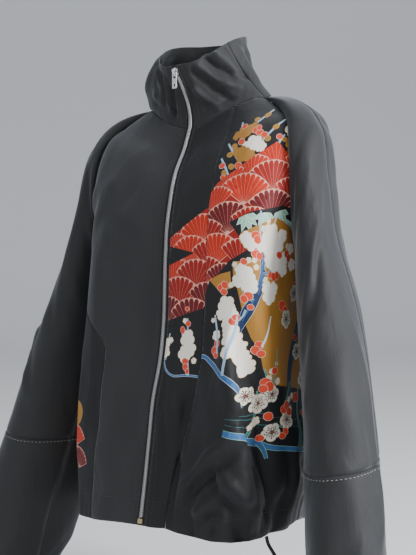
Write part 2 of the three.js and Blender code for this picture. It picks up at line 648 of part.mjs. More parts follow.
function block(width, length, height, y, z) {
  return new THREE.BoxGeometry(width, length, height).translate(0, y, z);
}
const plateTop = SLIDER_LIFT + SLIDER_THICK;
const POST_OVERLAP = 0.3; // posts run this far into the plate and the bar
const postHeight = BRIDGE_GAP + 2 * POST_OVERLAP;
const postAt = BRIDGE_REACH - BRIDGE_POST / 2;
const postZ = plateTop - POST_OVERLAP + postHeight / 2;
const bridgeBarZ = plateTop + BRIDGE_GAP + BRIDGE_BAR / 2;
const sliderSolid = [
  block(2 * BRIDGE_HALF_WIDTH, BRIDGE_POST, postHeight, postAt, postZ),
  block(2 * BRIDGE_HALF_WIDTH, BRIDGE_POST, postHeight, -postAt, postZ),
  block(2 * BRIDGE_HALF_WIDTH, 2 * BRIDGE_REACH, BRIDGE_BAR, 0, bridgeBarZ),
].reduce((sum, piece) => sum.add(solid(piece)), solid(plate));
const sliderPlace = zipAt(SLIDER_FROM_TOP);
const sliderUp = zipAt(SLIDER_FROM_TOP - 5).p.sub(zipAt(SLIDER_FROM_TOP + 5).p).normalize();
const sliderOut = new THREE.Vector3(1, 0, 0).cross(sliderUp).normalize();
const sliderMatrix = new THREE.Matrix4()
  .makeBasis(new THREE.Vector3(1, 0, 0), sliderUp, sliderOut)
  .setPosition(sliderPlace.p);
addMesh('slider', geometryOf(sliderSolid).applyMatrix4(sliderMatrix), SILVER, 0.3, 1);

// Pull tab: a plate hanging from the space under the bridge, with two slots through it
const TAB_WIDTH = 8.6;
const TAB_LENGTH = 26;
const TAB_THICK = 1.2;
const TAB_CORNER = 1.2;
const TAB_EYE = 1; // bar of the tab that turns under the bridge, half its height
const BRIDGE_SLOT_HALF = 2.4; // slot that takes the bridge
const BRIDGE_SLOT_END = 9.4;
const LOW_SLOT_HALF = 1.4; // slot near the lower end
const LOW_SLOT_TOP = 17.5;
const LOW_SLOT_END = 22;
const slot = (half, top, bottom) => {
  const path = new THREE.Path();
  path.moveTo(-half, -top);
  path.lineTo(half, -top);
  path.lineTo(half, -bottom);
  path.lineTo(-half, -bottom);
  path.closePath();
  return path;
};
const tabOutline = new THREE.Shape();
const corner = TAB_CORNER;
const [tabSide, tabEnd] = [TAB_WIDTH / 2, TAB_EYE - TAB_LENGTH];
tabOutline.moveTo(-tabSide + corner, TAB_EYE);
tabOutline.lineTo(-tabSide, TAB_EYE - corner);
tabOutline.lineTo(-tabSide, tabEnd + corner);
tabOutline.lineTo(-tabSide + corner, tabEnd);
tabOutline.lineTo(tabSide - corner, tabEnd);
tabOutline.lineTo(tabSide, tabEnd + corner);
tabOutline.lineTo(tabSide, TAB_EYE - corner);
tabOutline.lineTo(tabSide - corner, TAB_EYE);
tabOutline.closePath();
tabOutline.holes.push(
  slot(BRIDGE_SLOT_HALF, TAB_EYE, BRIDGE_SLOT_END),
  slot(LOW_SLOT_HALF, LOW_SLOT_TOP, LOW_SLOT_END),
);
const tab = new THREE.ExtrudeGeometry(tabOutline, { depth: TAB_THICK, bevelEnabled: false });
tab.translate(0, 0, -TAB_THICK / 2);
const pivot = sliderPlace.p.clone().addScaledVector(sliderOut, PIVOT_HEIGHT);
const tabMatrix = new THREE.Matrix4()
  .makeBasis(new THREE.Vector3(1, 0, 0), new THREE.Vector3(0, 0, 1), new THREE.Vector3(0, -1, 0))
  .setPosition(pivot);
addMesh('pull_tab', tab.applyMatrix4(tabMatrix), SILVER, 0.3, 1);

// Drawcord of the hem: its two free ends leave the left side of the hem and fall past the sleeve
const CORD_DIAMETER = 3;
const CORD_EXIT_WAY = 212; // where they leave, round the hem from the zip
const CORD_SPREAD = 4;
const CORD_DROP = 0.5; // below the edge of the hem, on top of the seam gap
const KNOT_RADIUS = 4;
const KNOT_SQUASH = 0.85;
const CORD_COLOUR = '#151617';
const CORD_ROUTE = table('x y down', [
  [0, 0, 0],
  [1, 0, 5],
  [4, -1, 11],
  [9, -1, 18],
  [15, -2, 25],
  [21, -2, 33],
  [26, -3, 42],
  [30, -3, 52],
  [32.5, -3, 63],
  [34, -3, 74],
  [34.5, -3, 86],
  [34.5, -3, 98],
]);
for (const [name, shift, fan, longer] of [['1', 0, 0, 1], ['2', CORD_SPREAD, 0.14, 1.08]]) {
  const hem = bodyPoint(FRONT, 1, CORD_EXIT_WAY + shift, HEM_ROW);
  const start = hem.addScaledVector(new THREE.Vector3(hem.x, hem.y, 0).normalize(), -CLOTH / 2);
  start.z -= SEAM_GAP + CORD_DROP;
  const points = CORD_ROUTE.map((step) => new THREE.Vector3(
    start.x + step.x * (1 + fan),
    start.y + step.y,
    start.z - step.down * longer,
  ));
  const circle = new THREE.Shape();
  circle.absarc(0, 0, CORD_DIAMETER / 2, 0, 2 * Math.PI);
  addMesh(`drawcord_${name}`, new THREE.ExtrudeGeometry(circle, {
    steps: 24, curveSegments: 4, bevelEnabled: false, extrudePath: new THREE.CatmullRomCurve3(points),
  }), CORD_COLOUR, 0.8);
  const end = points[points.length - 1];
  const knot = new THREE.SphereGeometry(KNOT_RADIUS, 10, 7).scale(1, 1, KNOT_SQUASH);
  knot.translate(end.x, end.y, end.z - SEAM_GAP - KNOT_SQUASH * KNOT_RADIUS);
  addMesh(`drawcord_knot_${name}`, knot, CORD_COLOUR, 0.8);
}

export default jacket;
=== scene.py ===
import math

import bmesh
import bpy
import numpy as np
from mathutils import Matrix, Vector
from mathutils.geometry import delaunay_2d_cdt


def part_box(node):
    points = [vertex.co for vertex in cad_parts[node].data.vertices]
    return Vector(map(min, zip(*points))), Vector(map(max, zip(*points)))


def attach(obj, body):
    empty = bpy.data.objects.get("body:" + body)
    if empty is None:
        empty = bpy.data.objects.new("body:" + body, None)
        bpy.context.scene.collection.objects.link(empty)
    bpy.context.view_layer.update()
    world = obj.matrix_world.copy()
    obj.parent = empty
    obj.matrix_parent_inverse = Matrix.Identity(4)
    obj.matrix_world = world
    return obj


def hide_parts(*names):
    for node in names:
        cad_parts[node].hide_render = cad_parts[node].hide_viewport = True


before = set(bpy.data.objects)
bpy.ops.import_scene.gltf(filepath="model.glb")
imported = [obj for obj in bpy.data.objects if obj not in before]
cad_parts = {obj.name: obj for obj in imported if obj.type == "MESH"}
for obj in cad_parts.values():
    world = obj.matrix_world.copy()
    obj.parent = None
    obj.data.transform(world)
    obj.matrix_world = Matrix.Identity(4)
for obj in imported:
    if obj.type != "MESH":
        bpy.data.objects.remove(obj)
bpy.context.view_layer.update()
MM = 0.001


# Camera: level, a little below the waist, turned to the wearer's left and close enough that the
# sleeve ends leave the picture. Its long side sees 555 pixels of a 36 mm sensor.
VIEW_TURN = math.radians(33)
VIEW_DISTANCE = 1.5
VIEW_HEIGHT = -0.287
VIEW_LEFT = 0.0033
PICTURE_HEIGHT = 555
FOCAL_PIXELS = 909
SENSOR = 36
camera_data = bpy.data.cameras.new("camera")
camera_data.lens = FOCAL_PIXELS / PICTURE_HEIGHT * SENSOR
camera_data.sensor_width = SENSOR
camera_data.sensor_fit = "AUTO"
camera = bpy.data.objects.new("camera", camera_data)
camera.location = (
    math.sin(VIEW_TURN) * VIEW_DISTANCE - math.cos(VIEW_TURN) * VIEW_LEFT,
    -math.cos(VIEW_TURN) * VIEW_DISTANCE - math.sin(VIEW_TURN) * VIEW_LEFT,
    VIEW_HEIGHT,
)
camera.rotation_euler = (math.pi / 2, 0, VIEW_TURN)
bpy.context.collection.objects.link(camera)
bpy.context.scene.camera = camera


# Drawcord of the hem: two free ends of one black round braid, which come out of the left of the hem
# and hang in a soft curve past the sleeve, each stopped by a plain overhand knot.
CORD_RADIUS = 1.5
CORD_ROUTE = [
    (0, 0, 0), (1, 0, 5), (4, -1, 11), (9, -1, 18), (15, -2, 25), (21, -2, 33), (26, -3, 42),
    (30, -3, 52), (32.5, -3, 63), (34, -3, 74), (34.5, -3, 86), (34.5, -3, 98),
]
CORDS = [
    ("1", (159.5, -96.3, -666.9), 1.0, 1.0),
    ("2", (159.7, -92.5, -666.9), 1.14, 1.08),
]
KNOT_DROP = 3.7
KNOT_LOOP = 0.62
KNOT_DEPTH = 1.5
KNOT_CORD_RADIUS = 1.35
KNOT_STEPS = 60


def smooth_path(points, per_span):
    """Points on a smooth curve through the given ones."""
    points = np.array(points, float)
    ends = np.vstack([2 * points[0] - points[1], points, 2 * points[-1] - points[-2]])
    out = []
    for i in range(1, len(ends) - 2):
        a, b, c, d = ends[i - 1:i + 3]
        for k in range(per_span):
            t = k / per_span
            bend = (2 * a - 5 * b + 4 * c - d) * t * t
            out.append(0.5 * (2 * b + (c - a) * t + bend + (3 * b - a - 3 * c + d) * t ** 3))
    out.append(points[-1])
    return np.array(out)


def link_mesh(name, points, faces, uvs=None):
    """A mesh object at the origin from points in millimetres; uvs hold one pair a point, in metres."""
    mesh = bpy.data.meshes.new(name)
    mesh.from_pydata((np.asarray(points) * MM).tolist(), [], faces)
    if uvs is not None:
        layer = mesh.uv_layers.new(name="cloth")
        corners = np.empty(len(mesh.loops), int)
        mesh.loops.foreach_get("vertex_index", corners)
        layer.data.foreach_set("uv", np.asarray(uvs, float)[corners].ravel())
    mesh.shade_smooth()
    obj = bpy.data.objects.new(name, mesh)
    bpy.context.collection.objects.link(obj)
    return obj


def tube(name, path, radius, sides=12):
    """A round tube along a path, closed by flat ends."""
    path = np.asarray(path, float)
    tangents = np.gradient(path, axis=0)
    tangents /= np.linalg.norm(tangents, axis=1)[:, None]
    side = np.cross(tangents[0], (0.3, 1, 0.2))
    points, uvs, faces = [], [], []
    run = 0
    for j, (p, t) in enumerate(zip(path, tangents)):
        side = side - t * side.dot(t)
        side /= np.linalg.norm(side)
        other = np.cross(t, side)
        run += np.linalg.norm(p - path[j - 1]) if j else 0
        for i in range(sides):
            angle = 2 * math.pi * i / sides
            points.append(p + radius * (math.cos(angle) * side + math.sin(angle) * other))
            uvs.append((i / sides, run * MM))
    for j in range(len(path) - 1):
        for i in range(sides):
            k = (i + 1) % sides
            faces.append((j * sides + i, j * sides + k, (j + 1) * sides + k, (j + 1) * sides + i))
    last = (len(path) - 1) * sides
    faces.append(tuple(range(sides))[::-1])
    faces.append(tuple(last + i for i in range(sides)))
    return link_mesh(name, points, faces, uvs)


def feed(node, inputs):
    """Sets inputs of a node, each to a value or to the output that feeds it."""
    for label, value in inputs.items():
        if isinstance(value, bpy.types.NodeSocket):
            node.id_data.links.new(value, node.inputs[label])
        else:
            node.inputs[label].default_value = value


def add_node(tree, kind, inputs, **settings):
    node = tree.nodes.new(kind)
    for setting, value in settings.items():
        setattr(node, setting, value)
    feed(node, inputs)
    return node


def new_material(name, inputs):
    """A material, with its node tree and its shader, which has these values."""
    material = bpy.data.materials.new(name)
    material.use_nodes = True
    shader = material.node_tree.nodes["Principled BSDF"]
    feed(shader, inputs)
    return material, material.node_tree, shader


cord_black, tree, shader = new_material("cord_black", {"Roughness": 0.62, "Sheen Weight": 0.15})
uv = add_node(tree, "ShaderNodeUVMap", {}, uv_map="cloth")
plaits = add_node(tree, "ShaderNodeMapping", {"Scale": (4, 900, 1), "Vector": uv.outputs["UV"]})
braid = add_node(tree, "ShaderNodeTexChecker", {"Scale": 1, "Vector": plaits.outputs["Vector"]})
tint = add_node(tree, "ShaderNodeMix", {
    "A": (0.006, 0.006, 0.007, 1), "B": (0.014, 0.014, 0.016, 1), "Factor": braid.outputs["Fac"],
}, data_type="RGBA")
raised = add_node(tree, "ShaderNodeBump", {
    "Distance": 0.0002, "Strength": 0.6, "Height": braid.outputs["Fac"],
})
feed(shader, {"Base Color": tint.outputs["Result"], "Normal": raised.outputs["Normal"]})

for word, start, fan, longer in CORDS:
    route = [(start[0] + x * fan, start[1] + y, start[2] - down * longer) for x, y, down in CORD_ROUTE]
    path = smooth_path(route, 3)
    cord_piece = tube(f"cord_{word}", path, CORD_RADIUS)
    cord_piece.data.materials.append(cord_black)
    turns = []
    knot_centre = path[-1] - np.array([0, 0, KNOT_DROP])
    for k in range(KNOT_STEPS + 1):
        a = 2 * math.pi * k / KNOT_STEPS
        turns.append(knot_centre + np.array([
            KNOT_LOOP * (math.sin(a) + 2 * math.sin(2 * a)),
            KNOT_LOOP * (math.cos(a) - 2 * math.cos(2 * a)),
            -KNOT_DEPTH * math.sin(3 * a),
        ]))
    knot = tube(f"cord_knot_{word}", turns, KNOT_CORD_RADIUS, 10)
    knot.data.materials.append(cord_black)
    for piece, node in ((cord_piece, f"drawcord_{word}"), (knot, f"drawcord_knot_{word}")):
        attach(piece, "jacket")
        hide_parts(node)


# Worn form of the body: sections from the neckline (0) past the underarm (5) to the hem (11), each
# running from the middle of the front or back round to the raglan or side seam, then the folds.
CLOTH = 1.0  # wall of the cloth, whose outer face lies on the solid's
ZIP_HALF = 6.6
UNDERARM_ROW = 5
HEM_ROW = 11
HALF_GAP = 0.15
FRONT = np.array([  # midZ midY nearX nearY bendX bendY seamX seamY seamZ
    [-49, -58.6, 45, -57, 84, -40, 110, -11, -3],
    [-86, -75, 55, -76, 112, -58, 148, -27, -30],
    [-133, -102, 62, -103, 128, -82, 172, -46, -55],
    [-199, -119, 66, -124, 142, -104, 186, -58, -105],
    [-247, -124, 68, -130, 150, -113, 189, -52, -165],
    [-292, -126.5, 70, -133, 155, -118, 180, -12, -232],
    [-353, -129, 72, -137, 162, -120, 174, -8, -320],
    [-413, -139, 74, -145, 168, -124, 178, -8, -398],
    [-472, -157, 76, -160, 169, -130, 184, -8, -466],
    [-531, -167, 78, -169, 168, -134, 187, -8, -534],
    [-592, -177.5, 80, -177, 167, -137, 188, -8, -604],
    [-653, -189.5, 80, -184, 162, -138, 182, -8, -678],
])
BACK = np.array([
    [8, 72, 40, 70, 78, 54, 101, 30, 0],
    [-40, 88, 55, 88, 112, 70, 140, 42, -20],
    [-92, 101, 62, 101, 128, 86, 168, 54, -48],
    [-150, 110, 66, 111, 142, 95, 184, 54, -100],
    [-210, 114, 68, 116, 150, 98, 188, 38, -165],
    [-268, 117, 70, 119, 154, 98, 180, -12, -232],
    [-335, 120, 72, 121, 157, 98, 174, -8, -320],
    [-403, 126, 74, 127, 162, 102, 178, -8, -398],
    [-470, 134, 76, 134, 166, 106, 184, -8, -466],
    [-535, 142, 78, 140, 170, 108, 187, -8, -534],
    [-602, 146, 80, 144, 172, 108, 188, -8, -604],
    [-670, 142, 80, 140, 166, 102, 182, -8, -678],
])
FRONT_FOLDS = [  # side fromWay fromRow toWay toRow widthIn widthOut height
    (1, 80, 6.4, 40, 11.6, 15, 13, -9),
    (1, 120, 5.9, 138, 11.6, 36, 40, 22),
    (1, 128, 5.6, 188, 10.9, 22, 14, 12),
    (1, 146, 5.8, 212, 10.9, 13, 16, -17),
    (1, 255, 8.0, 262, 11.2, 34, 30, 13),
    (1, 104, 9.6, 98, 11.4, 9, 9, 6),
    (1, 160, 10.2, 158, 11.5, 9, 8, -7),
    (1, 236, 9.8, 230, 11.5, 10, 9, -7),
    (1, 282, 9.4, 276, 11.5, 9, 9, -5),
    (1, 36, 8.4, 32, 11.2, 10, 10, -4),
    (-1, 34, 4.0, 30, 9.5, 16, 22, -5),
    (-1, 112, 2.6, 128, 7.6, 26, 26, 5),
    (-1, 190, 5.6, 214, 9.6, 18, 20, -7),
    (-1, 84, 8.6, 92, 11.5, 26, 26, 4),
]
BACK_FOLDS = [
    (1, 150, 4.4, 96, 8.8, 20, 22, -6),
    (-1, 150, 4.2, 108, 8.2, 22, 20, -7),
    (1, 60, 7.5, 58, 11.6, 20, 20, 6),
    (-1, 52, 8.0, 62, 11.6, 22, 20, 5),
    (1, 176, 8.8, 186, 11.6, 16, 14, -9),
    (1, 228, 9.0, 224, 11.6, 14, 14, 8),
    (-1, 200, 8.4, 204, 11.6, 18, 18, 6),
]
HEM_DRAW = 16
HEM_DRAW_ROWS = 1.3
HEM_LIFT = 22
SECTION_STEPS = 145
SEAM_SINK = 0.9
SEAM_WIDTH = 2.0
PUCKER = 0.35
PUCKER_WIDTH = 6
# Small creases, in distance round from the middle and distance down: side fromWay fromDrop toWay
# toDrop widthIn widthOut height, where In is the side towards the middle, or upwards when level.
FRONT_CREASES = [
    (1, 126, 330, 166, 628, 18, 4.5, 7.2),
    (1, 138, 330, 180, 628, 4.5, 16, -8.8),
    (1, 56, 600, 150, 500, 10, 5, 7.6),
    (1, 70, 612, 162, 520, 5, 8, -7.4),
    (1, 84, 632, 150, 566, 7, 5, 6.4),
    (1, 108, 560, 160, 632, 5, 6, -8.0),
    (1, 122, 548, 172, 612, 6, 5, 6.6),
    (1, 142, 470, 196, 560, 8, 6, -4.6),
    (1, 150, 430, 206, 520, 8, 7, 3.8),
    (1, 178, 560, 214, 650, 6, 7, 5.0),
    (1, 96, 640, 140, 596, 5, 4, -4.0),
    (1, 118, 655, 128, 612, 4, 4, -4.2),
    (1, 134, 660, 138, 618, 4, 4, 4.0),
    (1, 152, 660, 146, 624, 4, 3, -4.2),
    (1, 172, 660, 160, 622, 4, 4, 2.6),
    (1, 90, 660, 84, 622, 4, 4, -2.0),
    (1, 12, 436, 26, 520, 4, 5, -1.8),
    (1, 20, 470, 10, 590, 4, 4, 1.5),
    (1, 30, 500, 22, 612, 4, 4, -2.2),
    (1, 44, 450, 66, 560, 7, 5, 3.0),
    (1, 60, 460, 44, 640, 4, 5, -4.4),
    (1, 226, 520, 246, 650, 7, 8, -3.2),
    (1, 244, 540, 262, 654, 6, 7, 2.6),
    (1, 262, 560, 282, 650, 6, 6, -2.6),
    (1, 206, 600, 222, 660, 5, 5, 2.2),
    (1, 190, 610, 196, 664, 4, 4, -2.6),
    (1, 150, 250, 240, 300, 12, 10, -1.6),
    (1, 168, 120, 225, 190, 12, 12, 1.6),
    (1, 190, 160, 252, 240, 9, 9, -2.2),
    (1, 100, 120, 120, 250, 12, 12, 1.2),
    (-1, 60, 70, 130, 150, 16, 14, 1.8),
    (-1, 40, 90, 96, 190, 14, 14, -1.6),
    (-1, 150, 150, 205, 250, 10, 10, -2.2),
    (-1, 165, 130, 222, 232, 9, 9, 2.0),
    (-1, 120, 180, 196, 300, 12, 12, -1.4),
    (-1, 70, 300, 96, 470, 18, 16, 1.6),
    (-1, 52, 380, 60, 560, 12, 14, -1.4),
    (-1, 112, 430, 108, 610, 5, 8, -1.6),
    (-1, 20, 560, 90, 640, 10, 9, 1.2),
    (-1, 160, 420, 170, 600, 9, 9, 2.2),
    (-1, 180, 470, 176, 640, 8, 8, -2.4),
]
BACK_CREASES = [
    (1, 130, 120, 80, 250, 16, 14, -2.4),
    (1, 165, 150, 110, 300, 14, 14, 2.2),
    (1, 40, 300, 60, 520, 18, 18, 1.8),
    (1, 100, 420, 92, 650, 10, 12, -2.6),
    (1, 140, 500, 150, 660, 8, 9, 3.0),
    (1, 196, 520, 190, 664, 7, 7, -3.0),
    (1, 214, 540, 210, 664, 6, 6, 2.6),
    (1, 30, 560, 34, 668, 7, 7, -2.0),
    (-1, 135, 130, 86, 280, 14, 16, -2.4),
    (-1, 170, 170, 120, 330, 14, 14, 2.0),
    (-1, 44, 320, 34, 560, 18, 16, -1.6),
    (-1, 96, 440, 110, 640, 12, 12, 2.0),
    (-1, 150, 520, 146, 660, 9, 9, -2.0),
    (-1, 60, 40, 120, 70, 16, 14, -1.4),
    (1, 58, 46, 118, 78, 16, 14, -1.4),
]


def ease(t):
    c = np.clip(t, 0, 1)
    return c * c * (3 - 2 * c)


def spline(a, b, c, d, t):
    bend = (2 * a - 5 * b + 4 * c - d) * t * t
    return 0.5 * (2 * b + (c - a) * t + bend + (3 * b - a - 3 * c + d) * t ** 3)


def along(values, position):
    """A list, or a table's columns, read as a smooth curve that goes on straight past its ends."""
    values = np.asarray(values, float)
    last = len(values) - 1
    i = int(min(last - 1, max(0, math.floor(position))))
    ends = np.concatenate([[2 * values[0] - values[1]], values, [2 * values[-1] - values[-2]]])
    return spline(ends[i], ends[i + 1], ends[i + 2], ends[i + 3], position - i)


def section(rows, row):
    """Heights at both ends of one body section, with its plan curve and distance round."""
    mid_z, mid_y, near_x, near_y, bend_x, bend_y = along(rows[:, :6], row)
    if row >= UNDERARM_ROW:
        seam_x, seam_y, seam_z = along(rows[UNDERARM_ROW:, 6:], row - UNDERARM_ROW)
    else:
        seam_x, seam_y, seam_z = along(rows[:UNDERARM_ROW + 1, 6:], row)
    outward = 1 if rows is FRONT else -1
    xs = np.array([-near_x, 0, near_x, bend_x, seam_x, seam_x + 0.25 * (seam_x - bend_x)])
    ys = np.array([near_y, mid_y, near_y, bend_y, seam_y, seam_y + 70 * outward])
    t = np.linspace(0, 3, SECTION_STEPS)
    i = np.minimum(2, t.astype(int))
    f = t - i
    x = spline(xs[i], xs[i + 1], xs[i + 2], xs[i + 3], f)
    y = spline(ys[i], ys[i + 1], ys[i + 2], ys[i + 3], f)
    way = np.concatenate([[0], np.cumsum(np.hypot(np.diff(x), np.diff(y)))])
    return mid_z, seam_z, x, y, way


def fold_height(folds, side, way, row):
    height = np.zeros_like(way)
    for fold_side, from_way, from_row, to_way, to_row, width_in, width_out, high in folds:
        t = (row - from_row) / (to_row - from_row)
        if fold_side != side or not 0 < t < 1:
            continue
        off = way - (from_way + (to_way - from_way) * t)
        strength = min(1, t / 0.3) ** 1.5 * min(1, (1 - t) / 0.12)
        height += high * np.exp(-(off / np.where(off < 0, width_in, width_out)) ** 2) * ease(strength)
    return height


def crease_height(creases, side, a, b, gain=1.5):
    """Soft troughs and ridges along short lines in the plane of the cloth, uneven along each."""
    height = np.zeros(np.broadcast(a, b).shape)
    for n, (crease_side, a0, b0, a1, b1, width_in, width_out, high) in enumerate(creases):
        if crease_side != side:
            continue
        da, db = a1 - a0, b1 - b0
        reach = math.hypot(da, db)
        t = ((a - a0) * da + (b - b0) * db) / reach ** 2
        wander = 0.16 * width_out * np.sin(5.1 * t + n) + 0.1 * width_in * np.sin(11.3 * t + 2.1 * n)
        off = ((a - a0) * db - (b - b0) * da) / reach + wander
        shape = np.exp(-(off / np.where(off < 0, width_in, width_out)) ** 2)
        uneven = 0.8 + 0.2 * np.sin(7.3 * t + 1.7 * n)
        height += high * shape * uneven * ease(t / 0.22 + 0.12) * ease((1 - t) / 0.25 + 0.1)
    return gain * height


def rumple(a, b, seed):
    """Low uneven waves of cloth that has been worn and folded, under the main creases."""
    slow = np.sin(a / 14.0 + 2.2 * np.sin(b / 61.0 + seed) + seed)
    slow = slow * np.sin(b / 43.0 + 1.7 * np.sin(a / 45.0) + seed)
    slant = np.sin((0.8 * a + 0.6 * b) / 9.5 + 1.6 * np.sin(b / 33.0 + seed))
    slant = slant * np.sin((a - b) / 71.0 + seed)
    return 1.1 * slow + 0.6 * slant


def grid_normals(grid, core):
    """Normals of a grid of points, pointing away from its core."""
    n = np.cross(np.gradient(grid, axis=1), np.gradient(grid, axis=0))
    n /= np.linalg.norm(n, axis=2)[:, :, None] + 1e-9
    if (n * (grid - core)).sum() < 0:
        n = -n
    return n


def pushed(grid, core, height):
    return grid + grid_normals(grid, core) * height[:, :, None]


def hem_drawn(row, share, x, y, z):
    """The wearer's left of the body as the drawcord draws it in and lifts it towards the hem."""
    drawn = ease((row - (HEM_ROW - HEM_DRAW_ROWS)) / HEM_DRAW_ROWS) * ease((share - 0.12) / 0.4)
    inward = HEM_DRAW * drawn / np.hypot(x, y)
    lift = ease((row - UNDERARM_ROW) / (HEM_ROW - UNDERARM_ROW)) * ease(share - 0.35)
    return x * (1 - inward), y * (1 - inward), z + HEM_LIFT * lift


def body_grid(rows, side, row_list, from_way, to_way, cells):
    """Points of a body piece, one line a row, with the way and the drop of each."""
    folds = FRONT_FOLDS if rows is FRONT else BACK_FOLDS
    creases = FRONT_CREASES if rows is FRONT else BACK_CREASES
    outward = 1 if rows is FRONT else -1
    points, ways, drops, lengths = [], [], [], []
    for row in row_list:
        mid_z, seam_z, x, y, marks = section(rows, row)
        length = marks[-1]
        start, stop = from_way(row, length), to_way(row, length)
        way = np.linspace(min(start, length), min(stop, length), cells + 1)
        fade = 26 if row < UNDERARM_ROW + 1 else 16
        out = fold_height(folds, side, way, row) * ease((length - way) / fade)
        nx = np.interp(way, marks, outward * np.gradient(y, marks))
        ny = np.interp(way, marks, -outward * np.gradient(x, marks))
        px = np.interp(way, marks, x) + nx * out
        py = np.interp(way, marks, y) + ny * out
        share = way / length
        pz = mid_z + (seam_z - mid_z) * ease(share)
        drop = -pz
        if side > 0:
            px, py, pz = hem_drawn(row, share, px, py, pz)
        points.append(np.stack([side * px, py, pz], axis=1))
        ways.append(way)
        drops.append(drop)
        lengths.append(np.full_like(way, length))
    grid, way, drop, length = np.array(points), np.array(ways), np.array(drops), np.array(lengths)
    low = np.asarray(row_list)[:, None] / 0.6
    small = crease_height(creases, side, way, drop) + rumple(way, drop, side + outward) * ease(low)
    small = small * ease((length - way) / 20) * ease((way - 6) / 10)
    core = np.stack([0 * way, 0 * way, grid[:, :, 2]], axis=2)
    return pushed(grid, core, small), core, way, drop


def read_at(at, marks, points):
    """Points read along a line whose own points lie at these marks."""
    return np.stack([np.interp(at, marks, points[:, k]) for k in range(3)], axis=-1)


def run_along(points):
    """Distance along a line at each of its points."""
    return np.concatenate([[0], np.cumsum(np.linalg.norm(np.diff(points, axis=0), axis=1))])


def across(grid):
    """Distance of each point along its row, and along its column."""
    steps_i = np.linalg.norm(np.diff(grid, axis=1), axis=2)
    steps_j = np.linalg.norm(np.diff(grid, axis=0), axis=2)
    along_i = np.concatenate([np.zeros((len(grid), 1)), np.cumsum(steps_i, axis=1)], axis=1)
    along_j = np.concatenate([np.zeros((1, grid.shape[1])), np.cumsum(steps_j, axis=0)], axis=0)
    return along_i, along_j


def seam_sink(grid, edges, seed=1):
    """How far the cloth is drawn in beside its seams, with a light uneven pucker."""
    along_i, along_j = across(grid)
    distance = {
        "left": along_i, "right": along_i[:, -1:] - along_i,
        "top": along_j, "bottom": along_j[-1:] - along_j,
    }
    run = {"left": along_j, "right": along_j, "top": along_i, "bottom": along_i}
    sink = np.zeros(grid.shape[:2])
    for n, edge in enumerate(edges):
        if edge == "zip":
            continue
        near, far = distance[edge], run[edge]
        pucker = PUCKER * np.sin(far / 5.3 + 1.3 * n + seed) * np.sin(far / 17.0 + seed)
        sink -= SEAM_SINK * np.exp(-(near / SEAM_WIDTH) ** 2)
        sink += pucker * np.exp(-((near - PUCKER_WIDTH) / PUCKER_WIDTH) ** 2)
    return sink


def clamp_edges(grid, ring=False):
    """Draws the rim of a grid back from its seams by the half gap between two pieces."""
    out = grid.copy()
    for a, b in ((0, 1), (-1, -2)):
        step = grid[b] - grid[a]
        out[a] += HALF_GAP * step / (np.linalg.norm(step, axis=1)[:, None] + 1e-9)
    for a, b in ((0, 1), (-1, -2)):
        if not ring:
            step = grid[:, b] - grid[:, a]
            out[:, a] += HALF_GAP * step / (np.linalg.norm(step, axis=1)[:, None] + 1e-9)
    return out


def cloth_piece(name, grid, core, ring=False, wall=CLOTH):
    """A closed thin shell on a grid: its outer face, its inner face and the edges between them."""
    along_i, along_j = across(grid)
    normals = grid_normals(grid, core)
    if ring:
        seam = normals[:, 0] + normals[:, -1]
        normals[:, 0] = normals[:, -1] = seam / np.linalg.norm(seam, axis=1)[:, None]
    outer = clamp_edges(grid, ring)
    nj, ni = grid.shape[:2]
    facing = np.cross(grid[1, 1] - grid[0, 0], grid[1, 0] - grid[0, 1]).dot(normals[0, 0])
    points = np.concatenate([outer.reshape(-1, 3), (outer - wall * normals).reshape(-1, 3)])
    uvs = np.stack([along_i, along_j], axis=2).reshape(-1, 2) * MM
    n = nj * ni
    faces = []

    def quad(*corners):
        faces.append(corners if facing > 0 else corners[::-1])

    for j in range(nj - 1):
        for i in range(ni - 1):
            a, b, c, d = j * ni + i, j * ni + i + 1, (j + 1) * ni + i + 1, (j + 1) * ni + i
            quad(a, d, c, b)
            quad(n + a, n + b, n + c, n + d)
    for i in range(ni - 1):
        quad(i, i + 1, n + i + 1, n + i)
        low = (nj - 1) * ni
        quad(low + i + 1, low + i, n + low + i, n + low + i + 1)
    if not ring:
        for j in range(nj - 1):
            a, d = j * ni, (j + 1) * ni
            quad(d, a, n + a, n + d)
            b, c = a + ni - 1, d + ni - 1
            quad(b, c, n + c, n + b)
    obj = link_mesh(name, points, faces, np.concatenate([uvs, uvs]))
    if ring:
        join_ring(obj)
    return obj


def join_ring(obj):
    """Sews the two ends of a ring together."""
    work = bmesh.new()
    work.from_mesh(obj.data)
    bmesh.ops.remove_doubles(work, verts=work.verts, dist=0.00002)
    work.to_mesh(obj.data)
    work.free()


